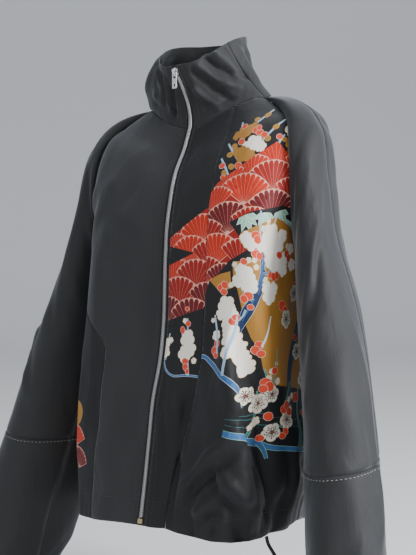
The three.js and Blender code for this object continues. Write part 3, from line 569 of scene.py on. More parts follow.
# Black silk of the plain pieces: a figured satin, soft and close, dull across and brighter where it
# turns to the light. The same cloth is the ground of the printed pieces.
def silk(name, printed):
    material, tree, shader = new_material(name, {
        "Sheen Weight": 0.1 if printed else 0.22, "Sheen Roughness": 0.45,
        "Sheen Tint": (0.88, 0.93, 1.0, 1), "Specular IOR Level": 0.3,
    })
    uv = add_node(tree, "ShaderNodeUVMap", {}, uv_map="cloth")
    place = add_node(tree, "ShaderNodeTexCoord", {})
    where = place.outputs["Object"]
    cloudy = add_node(tree, "ShaderNodeTexNoise", {"Scale": 14, "Detail": 3, "Vector": where})
    gloss = add_node(tree, "ShaderNodeMapRange", {
        "To Min": 0.58, "To Max": 0.74, "Value": cloudy.outputs["Fac"],
    })
    hang = add_node(tree, "ShaderNodeMapping", {"Scale": (26, 26, 7), "Vector": where})
    ripple = add_node(tree, "ShaderNodeTexNoise", {
        "Scale": 1, "Detail": 4, "Distortion": 0.6, "Vector": hang.outputs["Vector"],
    })
    drape = add_node(tree, "ShaderNodeBump", {
        "Strength": 0.5, "Distance": 0.006, "Height": ripple.outputs["Fac"],
    })
    rumpled = add_node(tree, "ShaderNodeTexNoise", {"Scale": 55, "Detail": 3, "Vector": where})
    soft = add_node(tree, "ShaderNodeBump", {
        "Strength": 0.4, "Distance": 0.0014, "Height": rumpled.outputs["Fac"],
        "Normal": drape.outputs["Normal"],
    })
    threads = add_node(tree, "ShaderNodeMapping", {"Scale": (2400, 1300, 1), "Vector": uv.outputs["UV"]})
    weave = add_node(tree, "ShaderNodeTexNoise", {
        "Scale": 1, "Detail": 2, "Vector": threads.outputs["Vector"],
    })
    fine = add_node(tree, "ShaderNodeBump", {
        "Strength": 0.3, "Distance": 0.0001, "Height": weave.outputs["Fac"],
        "Normal": soft.outputs["Normal"],
    })
    shade = add_node(tree, "ShaderNodeMapRange", {
        "To Min": 0.8, "To Max": 1.2, "Value": weave.outputs["Fac"],
    })
    ground = SILK_BLACK
    if printed:
        ground = add_node(tree, "ShaderNodeAttribute", {}, attribute_name="dye").outputs["Color"]
    colour = add_node(tree, "ShaderNodeMix", {
        "Factor": 1, "A": ground, "B": shade.outputs["Result"],
    }, data_type="RGBA", blend_type="MULTIPLY")
    feed(shader, {
        "Base Color": colour.outputs["Result"], "Roughness": gloss.outputs["Result"],
        "Normal": fine.outputs["Normal"],
    })
    return material


SILK_BLACK = (0.019, 0.0195, 0.021, 1)
black_silk = silk("black_silk", False)
printed_silk = silk("printed_silk", True)


def finish_cloth(obj, node, material=black_silk):
    """Gives a finished cloth piece its material and its body, and hides its node."""
    obj.data.materials.append(material)
    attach(obj, "jacket")
    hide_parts(node)


# Right front: one plain length of black silk, its edge folded back and stitched beside the zip, and
# its lower edge turned up and stitched as the casing of the drawcord.
RIGHT_FRONT_WIDTH = 104
SIDE_PANEL_TOP_WIDTH = 16
SIDE_PANEL_WIDENS_ROWS = 1.9
CASING = 37
CASING_SINK = 0.7
ZIP_STITCH = 3
PLACKET_STITCH = 11
BODY_ROWS = 150
BODY_CELLS = 60
BACK_CELLS = 44


def right_front_width(row, length):
    if row < UNDERARM_ROW:
        return length
    start = section(FRONT, UNDERARM_ROW)[4][-1] - SIDE_PANEL_TOP_WIDTH
    t = float(ease((row - UNDERARM_ROW) / SIDE_PANEL_WIDENS_ROWS))
    return start + (RIGHT_FRONT_WIDTH - start) * t


def casing_line(grid, seed):
    """A shallow line where the turned-up hem is stitched, and the fuller casing below it."""
    along_i, along_j = across(grid)
    up = along_j[-1:] - along_j
    line = -CASING_SINK * np.exp(-((up - CASING) / 1.6) ** 2)
    pucker = 0.3 * np.sin(along_i / 4.1 + seed) * np.exp(-((up - CASING + 5) / 7) ** 2)
    return line + pucker - 0.6 * np.exp(-(up / 2.2) ** 2)


def placket(grid):
    """Two stitched lines beside the zip, and the rounded edge where the cloth is folded back."""
    along_i, along_j = across(grid)
    sink = -0.35 * np.exp(-(along_i / 0.9) ** 2)
    sink -= 0.45 * np.exp(-((along_i - ZIP_STITCH) / 1.1) ** 2)
    return sink - 0.4 * np.exp(-((along_i - PLACKET_STITCH) / 1.3) ** 2)


stitch_lines = []
body_rows = np.linspace(0, HEM_ROW, BODY_ROWS)


def note_stitches(name, grid, core, by_zip):
    """Keeps the lines of this piece that are stitched: the casing, and both lines of a placket."""
    normals = grid_normals(grid, core)
    along_i, along_j = across(grid)
    lines = [("hem", along_j[-1:] - along_j, CASING, 0)]
    if by_zip:
        lines += [("zip", along_i, ZIP_STITCH, 1), ("placket", along_i, PLACKET_STITCH, 1)]
    for label, distance, at, axis in lines:
        line, outs = [], []
        for k in range(grid.shape[1 - axis]):
            d, strip, n = (np.take(field, k, axis=1 - axis) for field in (distance, grid, normals))
            if d[0] > d[-1]:
                d, strip, n = d[::-1], strip[::-1], n[::-1]
            line.append(read_at(at, d, strip))
            outs.append(read_at(at, d, n))
        stitch_lines.append((f"{name}_{label}", np.array(line), np.array(outs)))


def beside_zip(row, length):
    return ZIP_HALF


def at_middle(row, length):
    return 0


def side_seam(row, length):
    return length


def body_piece(name, rows, side, row_list, from_way, to_way, cells, edges):
    """Grid of a body piece between two ways round, with its seams, casing and placket."""
    grid, core, way, drop = body_grid(rows, side, row_list, from_way, to_way, cells)
    sink = seam_sink(grid, edges, seed=len(name)) + casing_line(grid, len(name))
    if "zip" in edges:
        sink = sink + placket(grid)
    grid = pushed(grid, core, sink)
    note_stitches(name, grid, core, "zip" in edges)
    return grid, core, way, drop


grid, core, _, _ = body_piece("right_front", FRONT, -1, body_rows, beside_zip, right_front_width,
                              BODY_CELLS, ["zip", "right", "top"])
right_front = cloth_piece("cloth_right_front", grid, core)
finish_cloth(right_front, "right_front")


# Back: two plain widths of the black silk, one for each side, seamed down the middle and to the
# fronts below the underarm, with the lower edge turned up as the casing.
for word, side in (("right", -1), ("left", 1)):
    grid, core, _, _ = body_piece(f"back_{word}", BACK, side, body_rows, at_middle, side_seam,
                                  BACK_CELLS, ["left", "right", "top"])
    back = cloth_piece(f"cloth_back_{word}", grid, core)
    finish_cloth(back, f"back_{word}")


# Sleeves: raglan halves of the same black silk, a lower sleeve joined on with a row of small pale
# stitches, and a plain cuff that it is gathered into.
SLEEVE = np.array([  # innerX innerZ outerX outerZ midY deep turn
    [183, -243, 207, -50, -18, 58, 0],
    [185, -266, 225, -135, -22, 64, 4],
    [187, -305, 240, -225, -27, 74, 8],
    [192, -372, 272, -325, -34, 82, 12],
    [204, -452, 299, -422, -51, 86, 17],
    [215, -532, 317, -512, -68, 88, 20],
    [225, -606, 333, -595, -86, 90, 22],
    [236, -678, 346, -672, -104, 88, 22],
    [250, -742, 350, -738, -114, 78, 20],
    [266, -790, 340, -788, -120, 50, 18],
    [268, -842, 342, -840, -124, 47, 18],
])
SLEEVE_ROUNDNESS = 2.3
LOWER_SLEEVE_AT = 6.35
CUFF_AT = 10
SLEEVE_END = 11
NECK_CELLS = 2
TOP_CELLS = 12
HALF_CELLS = TOP_CELLS + NECK_CELLS
NECK_TOP = np.array([111, 10, 2])
RAGLAN_PUFF = 10
BACK_PUFF = 18
COLUMN_MM = 15
POSITION_MM = 78
GATHER_DEPTH = 1.5
GATHER_REACH = 24
SLEEVE_CELLS = 43
UPPER_ROWS = 100
LOWER_ROWS = 60
CUFF_ROWS = 16
# Creases of the sleeves in millimetres round from the lower seam and down from the neckline.
SLEEVE_CREASES = [
    (-1, 150, 330, 100, 430, 9, 7, 3.2),
    (-1, 140, 352, 70, 440, 8, 8, -3.0),
    (-1, 120, 390, 40, 470, 8, 9, 2.6),
    (-1, 168, 300, 120, 360, 9, 8, -2.4),
    (-1, 150, 230, 96, 330, 12, 12, -2.0),
    (-1, 180, 470, 90, 560, 12, 10, 2.2),
    (-1, 165, 640, 120, 760, 9, 8, -2.8),
    (-1, 128, 655, 96, 765, 8, 8, 2.6),
    (-1, 84, 660, 76, 770, 7, 7, -3.0),
    (-1, 52, 670, 50, 768, 7, 7, 2.4),
    (-1, 190, 650, 172, 768, 8, 7, 2.8),
    (-1, 236, 640, 230, 768, 8, 8, -2.8),
    (-1, 286, 640, 292, 766, 8, 8, 2.6),
    (-1, 340, 650, 330, 768, 8, 8, -2.6),
    (-1, 268, 330, 330, 420, 12, 12, -2.6),
    (-1, 250, 200, 330, 290, 14, 12, 2.0),
    (-1, 108, 20, 70, 130, 12, 14, 1.6),
    (1, 176, 180, 62, 330, 10, 12, 3.4),
    (1, 160, 226, 48, 356, 11, 10, -3.4),
    (1, 120, 300, 40, 420, 10, 10, 2.2),
    (1, 186, 320, 172, 620, 5, 18, 5.0),
    (1, 206, 330, 196, 620, 16, 9, -2.4),
    (1, 150, 560, 60, 690, 12, 9, 2.8),
    (1, 110, 600, 40, 720, 9, 9, -2.8),
    (1, 176, 640, 150, 768, 8, 8, 2.8),
    (1, 140, 660, 118, 768, 7, 7, -3.0),
    (1, 96, 660, 88, 770, 7, 7, 2.6),
    (1, 60, 670, 54, 770, 7, 7, -2.4),
    (1, 216, 640, 210, 768, 8, 8, -2.6),
    (1, 262, 650, 258, 768, 8, 8, 2.8),
    (1, 306, 650, 300, 768, 8, 8, -2.6),
    (1, 352, 650, 350, 768, 8, 8, 2.2),
    (1, 260, 210, 330, 320, 14, 12, 2.4),
    (1, 280, 340, 350, 430, 12, 12, -2.4),
    (1, 108, 20, 70, 130, 12, 14, -1.6),
    (1, 196, 30, 200, 160, 14, 14, 1.2),
]


def seam_end(rows, side, row):
    """Point where a body section meets the raglan or side seam."""
    mid_z, seam_z, x, y, way = section(rows, row)
    point = np.array([x[-1], y[-1], seam_z])
    if side > 0:
        point = np.array(hem_drawn(row, 1, *point))
    return point * np.array([side, 1, 1])


def neck_side_point(side, t):
    front, back = seam_end(FRONT, side, 0), seam_end(BACK, side, 0)
    top = NECK_TOP * np.array([side, 1, 1])
    pull = 2 * top - (front + back) / 2
    return (1 - t) ** 2 * front + 2 * t * (1 - t) * pull + t ** 2 * back


def raglan_point(side, column):
    back_half = column > HALF_CELLS
    c = 2 * HALF_CELLS - column if back_half else column
    if c >= TOP_CELLS:
        t = 0.5 * (c - TOP_CELLS) / NECK_CELLS
        return neck_side_point(side, 1 - t if back_half else t)
    return seam_end(BACK if back_half else FRONT, side, UNDERARM_ROW * (1 - c / TOP_CELLS))


def sleeve_ring_point(side, values, column):
    inner_x, inner_z, outer_x, outer_z, mid_y, deep, turn = values
    angle = math.pi * column / HALF_CELLS
    power = 2 / SLEEVE_ROUNDNESS
    inward = math.copysign(abs(math.cos(angle)) ** power, math.cos(angle))
    forward = math.copysign(abs(math.sin(angle)) ** power, math.sin(angle))
    turn = math.radians(turn)
    half_x, half_z = (inner_x - outer_x) / 2, (inner_z - outer_z) / 2
    x = (inner_x + outer_x) / 2 + inward * half_x * math.cos(turn) + forward * deep * math.sin(turn)
    y = mid_y + inward * half_x * math.sin(turn) - forward * deep * math.cos(turn)
    return np.array([side * x, y, (inner_z + outer_z) / 2 + inward * half_z])


def sleeve_line(side, column):
    """One lengthwise line of a sleeve as its stops, from the raglan seam to the cuff's end."""
    return [raglan_point(side, column)] + [sleeve_ring_point(side, ring, column) for ring in SLEEVE]


def sleeve_grid(side, column_list, position_list):
    inner_x, inner_z, outer_x, outer_z, mid_y = SLEEVE[0, :5]
    centre = np.array([side * (inner_x + outer_x) / 2, mid_y, (inner_z + outer_z) / 2])
    lines = []
    for column in column_list:
        stops = sleeve_line(side, column)
        line = []
        for position in position_list:
            i = int(min(math.floor(position), SLEEVE_END - 1))
            b, c = stops[i], stops[i + 1]
            a = stops[i - 1] if i > 0 else 2 * b - c
            d = stops[i + 2] if i + 2 <= SLEEVE_END else 2 * c - b
            p = spline(a, b, c, d, position - i)
            if i == 0:
                swell = math.sin(math.pi * position)
                past_top = float(ease((column - HALF_CELLS) / NECK_CELLS))
                back = past_top * float(ease((2 * HALF_CELLS - column) / NECK_CELLS))
                front = float(ease(column / NECK_CELLS)) * (1 - past_top)
                radial = (c - centre) / np.linalg.norm(c - centre)
                p = p + radial * RAGLAN_PUFF * swell * front
                p[0] += side * BACK_PUFF * swell * back
            line.append(p)
        lines.append(line)
    grid = np.array(lines).transpose(1, 0, 2)
    t = np.clip((-grid[:, :, 2] - 60) / 740, 0, 1)
    core = np.stack([side * (150 + 150 * t), -10 - 108 * t, grid[:, :, 2] - 60 * (1 - t)], axis=2)
    a = np.array(column_list)[None, :] * COLUMN_MM + 0 * t
    b = np.array(position_list)[:, None] * POSITION_MM + 0 * t
    rim = ease(b / 30) * ease((780 - b) / 14 + 0.25)
    height = crease_height(SLEEVE_CREASES, side, a, b) + rumple(a, b, 2 * side)
    seams = np.abs(np.sin(math.pi * np.array(column_list) / HALF_CELLS))[None, :]
    return pushed(grid, core, height * rim * ease(seams / 0.25)), core


def gathers(grid, depth, seed):
    """Fine upright gathers that die out away from the lower edge."""
    along_i, along_j = across(grid)
    up = along_j[-1:] - along_j
    wave = np.sin(along_i / 3.1 + 1.1 * np.sin(along_i / 9.7 + seed))
    wave += 0.5 * np.sin(along_i / 6.3 + seed)
    return depth * wave * np.exp(-up / GATHER_REACH)


front_columns = np.linspace(0, HALF_CELLS, SLEEVE_CELLS)
back_columns = front_columns + HALF_CELLS
upper_positions = np.linspace(0, LOWER_SLEEVE_AT, UPPER_ROWS)
lower_positions = np.linspace(LOWER_SLEEVE_AT, CUFF_AT, LOWER_ROWS)
sleeve_seams = {}
for word, side in (("right", -1), ("left", 1)):
    for half, column_list in (("front", front_columns), ("back", back_columns)):
        grid, core = sleeve_grid(side, column_list, upper_positions)
        grid = pushed(grid, core, seam_sink(grid, ["left", "right", "top", "bottom"], len(half)))
        upper = cloth_piece(f"cloth_{word}_sleeve_{half}", grid, core)
        finish_cloth(upper, f"{word}_sleeve_{half}")
        grid, core = sleeve_grid(side, column_list, lower_positions)
        ruffle = seam_sink(grid, ["left", "right", "top"], 4)
        ruffle += gathers(grid, GATHER_DEPTH, side + len(half))
        grid = pushed(grid, core, ruffle)
        sleeve_seams[word, half] = grid[1], grid_normals(grid, core)[1]
        lower = cloth_piece(f"cloth_{word}_lower_sleeve_{half}", grid, core)
        finish_cloth(lower, f"{word}_lower_sleeve_{half}")
    grid, core = sleeve_grid(side, np.concatenate([front_columns, back_columns[1:]]),
                             np.linspace(CUFF_AT, SLEEVE_END, CUFF_ROWS))
    along_i, along_j = across(grid)
    band = -0.8 * np.exp(-(along_j / 2.5) ** 2)
    band -= 0.6 * np.exp(-((along_j - along_j[-1:]) / 2.5) ** 2)
    band -= 0.5 * np.exp(-((along_j - 5) / 1.2) ** 2)
    grid = pushed(grid, core, band)
    cuff = cloth_piece(f"cloth_{word}_cuff", grid, core, ring=True)
    finish_cloth(cuff, f"{word}_cuff")


# Side panel: the same silk, cut where the print of the old hem shows low down, and seamed between
# the right front and the back from the underarm to the hem.
PRINT_LINE = 0.5
PRINT_CELL = 5.0
PRINT_CELLS = 80
PANEL_ROWS = 181
FRONT_ROWS = 331
RIM_CELLS = 8
RIM_ROWS = 4
ROW_JUMP = 10
SPREAD = 1.9  # how far a pine fan opens, in radians
dyes = {
    "black": (24, 25, 27), "white": (236, 231, 219), "cream": (222, 214, 196),
    "gold": (166, 117, 46), "gold_dark": (132, 88, 32), "gold_line": (196, 160, 96),
    "vermilion": (186, 40, 16), "red": (146, 26, 18), "crimson": (102, 20, 24),
    "rose_line": (222, 158, 140), "bud": (214, 70, 42), "bud_line": (240, 214, 200),
    "blue": (52, 98, 148), "navy": (30, 50, 84), "sky": (150, 184, 214), "pale": (186, 204, 222),
    "teal": (52, 110, 112), "leaf": (150, 196, 174), "leaf_line": (226, 236, 226),
    "stamen": (56, 36, 30), "stamen_tip": (150, 60, 48),
}


def linear(shade):
    """A colour as seen on a screen, in the renderer's own scale."""
    return tuple(((c / 255 + 0.055) / 1.055) ** 2.4 if c > 10 else c / 3295 for c in shade)


class Print:
    """Shapes laid one over another on a flat piece of silk, in millimetres round and down."""

    def __init__(self):
        self.shapes = []

    def lay(self, points, dye, inside=None):
        self.shapes.append((counter_clockwise(points), dye, inside))
        return len(self.shapes) - 1

    def stroke(self, path, widths, dye):
        """A brush stroke along a path, its width given from end to end."""
        path = smooth_path([(x, y, 0) for x, y in path], 5)[:, :2]
        widths = np.interp(np.linspace(0, 1, len(path)), np.linspace(0, 1, len(widths)), widths)
        t = np.gradient(path, axis=0)
        t /= np.linalg.norm(t, axis=1)[:, None]
        side = np.stack([-t[:, 1], t[:, 0]], axis=1) * widths[:, None] / 2
        left, right = path + side, path - side
        for k in range(len(path) - 1):
            self.lay([left[k], left[k + 1], right[k + 1], right[k]], dye)


def blossom_outline(x, y, size, turn, bloom=0.2):
    angles = np.linspace(0, 2 * math.pi, 40, endpoint=False)
    reach = size * (1 - bloom + bloom * np.abs(np.cos(2.5 * angles)) ** 0.7)
    return np.stack([x + reach * np.cos(angles + turn), y + reach * np.sin(angles + turn)], axis=1)


def petal_dot(x, y, size, turn, long=1.25, points=12):
    angles = np.linspace(0, 2 * math.pi, points, endpoint=False)
    a, b = size * long * np.cos(angles), size * np.sin(angles)
    c, s = math.cos(turn), math.sin(turn)
    return np.stack([x + a * c - b * s, y + a * s + b * c], axis=1)


def branch(art, path, widths, dye, line):
    art.stroke(path, [w + 2 * PRINT_LINE for w in widths], line)
    art.stroke(path, widths, dye)


def strokes(art, widths, dye, paths):
    for path in paths:
        art.stroke(path, widths, dye)


def sprays(art, widths, dye, line, paths):
    for path in paths:
        branch(art, path, widths, dye, line)


def buds(art, places, dye="bud", line="bud_line"):
    for x, y, size, turn in places:
        art.lay(petal_dot(x, y, size + 0.8 * PRINT_LINE, turn), line)
        art.lay(petal_dot(x, y, size, turn), dye)


def plain_blossoms(art, places, dye="white", line="gold_line"):
    """Blossoms without drawn petals; those that touch run together inside one outline."""
    for grow, shade in ((0.6, line), (0, dye)):
        for x, y, size, turn in places:
            art.lay(blossom_outline(x, y, size + grow, turn, 0.22), shade)


def clouds(art, places):
    """Round gold clouds that run together inside one outline."""
    for grow, shade in ((0.6, "gold_line"), (0, "gold")):
        for x, y, size, turn in places:
            art.lay(petal_dot(x, y, size + grow, turn, 1.25, 36), shade)


def drawn_blossoms(art, places):
    """Plum blossoms with drawn petals and stamens."""
    for x, y, size, turn in places:

        def at(angle, reach):
            return x + size * reach * math.cos(angle), y + size * reach * math.sin(angle)

        art.lay(blossom_outline(x, y, size + 0.7, turn), "stamen")
        art.lay(blossom_outline(x, y, size, turn), "cream")
        for k in range(5):
            a = turn + 2 * math.pi * k / 5
            for off, reach in ((-0.34, 0.5), (0, 0.66), (0.34, 0.5)):
                art.stroke([(x, y), at(a + off, reach)], [0.9, 0.8], "stamen")
                art.lay(petal_dot(*at(a + off, reach), 1.0, 0, 1, 8), "stamen")
            gap = a + math.pi / 5
            art.stroke([at(gap, 0.45), at(gap, 0.82)], [0.3, 0.55], "stamen")
        art.lay(petal_dot(x, y, size * 0.1, 0, 1, 8), "stamen_tip")


def pine_fans(art, places, inside, needles=9):
    """Fans of pine needles, each opening upwards from its foot."""
    needle = [  # share of the fan's reach, share of the needle's own room
        (0.1, 0.6), (0.3, 0.93), (0.6, 0.96), (0.88, 0.96), (0.96, 0.72), (0.995, 0.3),
    ]
    half = SPREAD / needles / 2
    for x, y, size, turn, dye in places:

        def at(angle, reach):
            return x + size * reach * math.sin(angle), y - size * reach * math.cos(angle)

        angles = np.linspace(-SPREAD / 2, SPREAD / 2, 26) + turn
        art.lay([(x, y + 1.4)] + [at(a, 1.018) for a in angles], "rose_line", inside)
        for k in range(needles):
            a = turn - SPREAD / 2 + (2 * k + 1) * half
            left = [at(a - half * room, reach) for reach, room in needle]
            right = [at(a + half * room, reach) for reach, room in needle]
            art.lay(left + right[::-1], dye, inside)


def bamboo(art, places):
    """Bamboo leaves hanging in sprays."""
    for x, y, size, turn in places:
        for a, reach in ((-1.1, 0.8), (-0.55, 1.0), (0.0, 1.1), (0.5, 0.95), (1.05, 0.8)):
            tip = (x + size * reach * math.sin(turn + a), y + size * reach * math.cos(turn + a))
            path = [(x, y), ((x + tip[0]) / 2, (y + tip[1]) / 2), tip]
            art.stroke(path, [1.4, size * 0.34 + 1.2, 0.5], "leaf_line")
            art.stroke(path, [0.6, size * 0.34 - 0.4, 0.2], "leaf")


def counter_clockwise(points):
    points = np.asarray(points, float)
    ahead = np.roll(points, -1, axis=0)
    if (points[:, 0] * ahead[:, 1] - ahead[:, 0] * points[:, 1]).sum() < 0:
        return points[::-1]
    return points


def cut_print(art, rim):
    """The flat piece cut into triangles along the outlines of its print, with each one's colour."""
    points, polygons = list(rim), [list(range(len(rim)))]
    for shape, dye, inside in art.shapes:
        polygons.append(list(range(len(points), len(points) + len(shape))))
        points.extend(shape)
    low, high = rim.min(axis=0), rim.max(axis=0)
    for n, b in enumerate(np.arange(low[1] + PRINT_CELL / 2, high[1], PRINT_CELL)):
        for a in np.arange(low[0] + (0.5 + 0.5 * (n % 2)) * PRINT_CELL, high[0], PRINT_CELL):
            points.append((a, b))
    flat, _, triangles, _, _, owners = delaunay_2d_cdt([Vector(p) for p in points], [], polygons, 0, 1e-4)
    flat = np.array([tuple(v) for v in flat])
    kept, colours = [], []
    for triangle, inside in zip(triangles, map(set, owners)):
        if 0 not in inside:
            continue
        dye = "black"
        for n in sorted(inside - {0}, reverse=True):
            _, shape_dye, limit = art.shapes[n - 1]
            if limit is None or limit + 1 in inside:
                dye = shape_dye
                break
        kept.append(triangle)
        colours.append(linear(dyes[dye]))
    used = sorted({v for triangle in kept for v in triangle})
    renumber = {v: n for n, v in enumerate(used)}
    return flat[used], [tuple(renumber[v] for v in triangle) for triangle in kept], colours


def place_on_grid(flat, way, drop):
    """Row and cell of the grid where each flat point lies."""
    row_of, cell_of = np.empty(len(flat)), np.empty(len(flat))
    share = np.linspace(0, 1, way.shape[1])
    for n, (a, b) in enumerate(flat):
        at_row = [np.interp(a, way[j], drop[j]) for j in range(0, len(way), ROW_JUMP)]
        j = int(np.searchsorted(at_row, b)) * ROW_JUMP
        window = range(max(0, j - ROW_JUMP), min(len(way), j + ROW_JUMP + 1))
        near = np.array([np.interp(a, way[k], drop[k]) for k in window])
        row_of[n] = np.interp(b, near, np.array(list(window), float))
        k = int(min(len(way) - 2, row_of[n]))
        f = row_of[n] - k
        cell_of[n] = np.interp(a, way[k] * (1 - f) + way[k + 1] * f, share) * PRINT_CELLS
    return row_of, cell_of


def printed_piece(name, art, side, from_way, to_way, edges):
    """A cloth piece cut along the outlines of its print, so that each shape has its own dye."""
    rows = np.linspace(0, HEM_ROW, FRONT_ROWS)
    if side < 0:
        rows = np.linspace(UNDERARM_ROW, HEM_ROW, PANEL_ROWS)
    grid, core, way, drop = body_piece(name, FRONT, side, rows, from_way, to_way, PRINT_CELLS, edges)
    normals = grid_normals(grid, core)
    grid = clamp_edges(grid)
    along_i, along_j = across(grid)
    flat_grid = np.stack([way, drop], axis=2)
    rim = counter_clockwise(np.concatenate([
        flat_grid[0, ::RIM_CELLS], flat_grid[RIM_ROWS::RIM_ROWS, -1][:-1],
        flat_grid[-1, ::-RIM_CELLS], flat_grid[-1 - RIM_ROWS:0:-RIM_ROWS, 0],
    ]))
    flat, kept, colours = cut_print(art, rim)
    row_of, cell_of = place_on_grid(flat, way, drop)
    j = np.minimum(row_of.astype(int), len(rows) - 2)
    i = np.minimum(cell_of.astype(int), PRINT_CELLS - 1)
    fj, fi = (row_of - j)[:, None], (cell_of - i)[:, None]

    def read(field):
        top = field[j, i] * (1 - fi) + field[j, i + 1] * fi
        low = field[j + 1, i] * (1 - fi) + field[j + 1, i + 1] * fi
        return top * (1 - fj) + low * fj

    outer, normal = read(grid), read(normals)
    normal /= np.linalg.norm(normal, axis=1)[:, None]
    uvs = read(np.stack([along_i, along_j], axis=2)) * MM
    a, b, c = kept[len(kept) // 2]
    if np.cross(outer[b] - outer[a], outer[c] - outer[a]).dot(normal[a]) < 0:
        kept = [triangle[::-1] for triangle in kept]
    count = len(outer)
    edge_faces = {(triangle[k], triangle[(k + 1) % 3]): True for triangle in kept for k in range(3)}
    sides = [(p, q) for p, q in edge_faces if (q, p) not in edge_faces]
    faces = kept + [tuple(v + count for v in triangle[::-1]) for triangle in kept]
    faces += [(q, p, p + count, q + count) for p, q in sides]
    points = np.concatenate([outer, outer - CLOTH * normal])
    obj = link_mesh(name, points, faces, np.concatenate([uvs, uvs]))
    black = linear(dyes["black"])
    face_colours = colours + [black] * (len(faces) - len(colours))
    dye_layer = obj.data.color_attributes.new("dye", "FLOAT_COLOR", "CORNER")
    sizes = [len(face) for face in faces]
    rgba = np.repeat(np.array([(*colour, 1) for colour in face_colours]), sizes, axis=0)
    dye_layer.data.foreach_set("color", rgba.ravel())
    return obj, grid


side_art = Print()
clouds(side_art, [
    (172, 506, 20, 0.3), (198, 498, 22, -0.2), (224, 514, 20, 0.5), (240, 544, 18, 1.2),
    (196, 538, 26, 0.1), (226, 566, 22, 0.9), (212, 590, 16, 0.2),
])
pine_fans(side_art, [
    (166, 556, 32, -0.2, "vermilion"), (200, 562, 32, 0.1, "red"), (180, 582, 32, -0.1, "red"),
    (156, 590, 32, -0.3, "crimson"), (196, 606, 32, 0.1, "vermilion"),
], None)
plain_blossoms(side_art, [(212, 498, 12, 0.3), (226, 506, 10, 0.8), (236, 530, 9, 0.1)])
buds(side_art, [(184, 494, 3.2, 0), (192, 500, 2.8, 0.7), (240, 552, 3.0, 0.3)])
side_panel, grid = printed_piece("cloth_right_side", side_art, -1, right_front_width, side_seam,
                                 ["left", "right"])
finish_cloth(side_panel, "right_side", printed_silk)


# Printed left front: a centre strip beside the zip and the wide side front, cut from the formal
# kimono's pictured cloth, with pine fans, bamboo, gold clouds, plum blossom and bent trunks.
LEFT_CENTRE_WIDTH = 78
LEFT_CENTRE_HEM_WIDTH = 38
LEFT_CENTRE_TAPERS_AT = 6.8


def left_centre_width(row, length):
    t = float(ease((row - LEFT_CENTRE_TAPERS_AT) / (HEM_ROW - LEFT_CENTRE_TAPERS_AT)))
    return LEFT_CENTRE_WIDTH + (LEFT_CENTRE_HEM_WIDTH - LEFT_CENTRE_WIDTH) * t


strip = Print()
strip_pine = strip.lay([(6, 228), (80, 181), (84, 330), (6, 353), (6, 269), (57, 250), (6, 239)], "red")
pine_fans(strip, [
    (70, 236, 44, -0.25, "vermilion"), (22, 250, 30, -0.1, "vermilion"),
    (50, 268, 44, 0.0, "vermilion"), (84, 274, 42, 0.1, "red"), (16, 296, 40, 0.1, "vermilion"),
    (60, 306, 46, 0.0, "red"), (28, 334, 48, -0.05, "red"), (82, 338, 44, 0.1, "crimson"),
    (6, 356, 40, 0.1, "crimson"), (54, 368, 50, 0.0, "crimson"),
], strip_pine)
branch(strip, [
    (5, 409), (14, 427), (30, 434), (54, 432), (84, 433),
], [1.2, 1.8, 2, 2.2, 2], "blue", "pale")
branch(strip, [(47, 348), (50, 372), (53, 400), (58, 432)], [1.5, 2, 2.4, 3], "sky", "pale")
branch(strip, [(14, 372), (11, 395), (9, 412)], [1, 1.6, 2.4], "sky", "pale")
plain_blossoms(strip, [
    (50, 378, 14, 0.2), (56, 393, 12, 1.0), (47, 401, 13, 0.5), (8, 400, 9, 0.3), (10, 386, 7, 0.9),
    (17, 382, 4.5, 0.1), (42, 352, 4, 0.4), (66, 410, 4.5, 0.8),
])
buds(strip, [
    (49, 356, 4.2, 0.3), (39, 366, 4.4, 1.2), (50, 412, 5.0, 0.2), (52, 420, 4.6, 0.8),
    (46, 334, 3.2, 0.1), (56, 426, 3.2, 1.4),
])

wide = Print()
# Blossoming sprays near the shoulder.
sprays(wide, [1.8, 2.4, 1.6], "sky", "pale", [
    [(127, 61), (138, 46), (151, 30)], [(149, 88), (163, 69), (181, 48)],
    [(92, 84), (104, 97), (121, 116)], [(87, 108), (97, 121), (107, 137)],
    [(187, 74), (181, 86), (178, 101)], [(110, 66), (107, 58), (104, 50)],
])
plain_blossoms(wide, [(139, 88, 14, 0.4), (152, 93, 9, 1.0), (128, 92, 9, 0.1), (198, 64, 13, 0.5)])
plain_blossoms(wide, [
    (117, 68, 13, 0.3), (130, 62, 10, 0.9), (104, 72, 8, 0.2), (124, 104, 13, 0.7), (137, 108, 10, 0.1),
    (112, 99, 7, 0.5), (203, 88, 11, 0.4), (206, 101, 9, 1.1),
], "gold", "gold_dark")
buds(wide, [
    (145, 40, 4.2, -0.5), (130, 47, 3.6, 0.2), (108, 62, 3.2, 0.9), (169, 62, 4.0, -0.3),
    (160, 80, 4.2, 0.5), (106, 90, 4.2, 0.4), (101, 103, 4.0, 0.1), (108, 122, 4.0, 0.5),
    (98, 132, 4.2, 1.0), (189, 82, 3.6, 0.4),
], "gold", "gold_line")
buds(wide, [
    (137, 66, 5.0, 0.5), (144, 70, 4.6, -0.3), (141, 62, 4.0, 0.9), (112, 58, 4.0, 0.2),
    (153, 74, 4.6, 0.1), (117, 84, 4.8, 0.4), (120, 121, 5.0, 0.3), (92, 120, 4.2, -0.4),
    (179, 78, 4.2, 0.4), (205, 76, 4.6, 0.2), (200, 112, 4.8, 0.8), (97, 138, 3.4, 0.2),
])

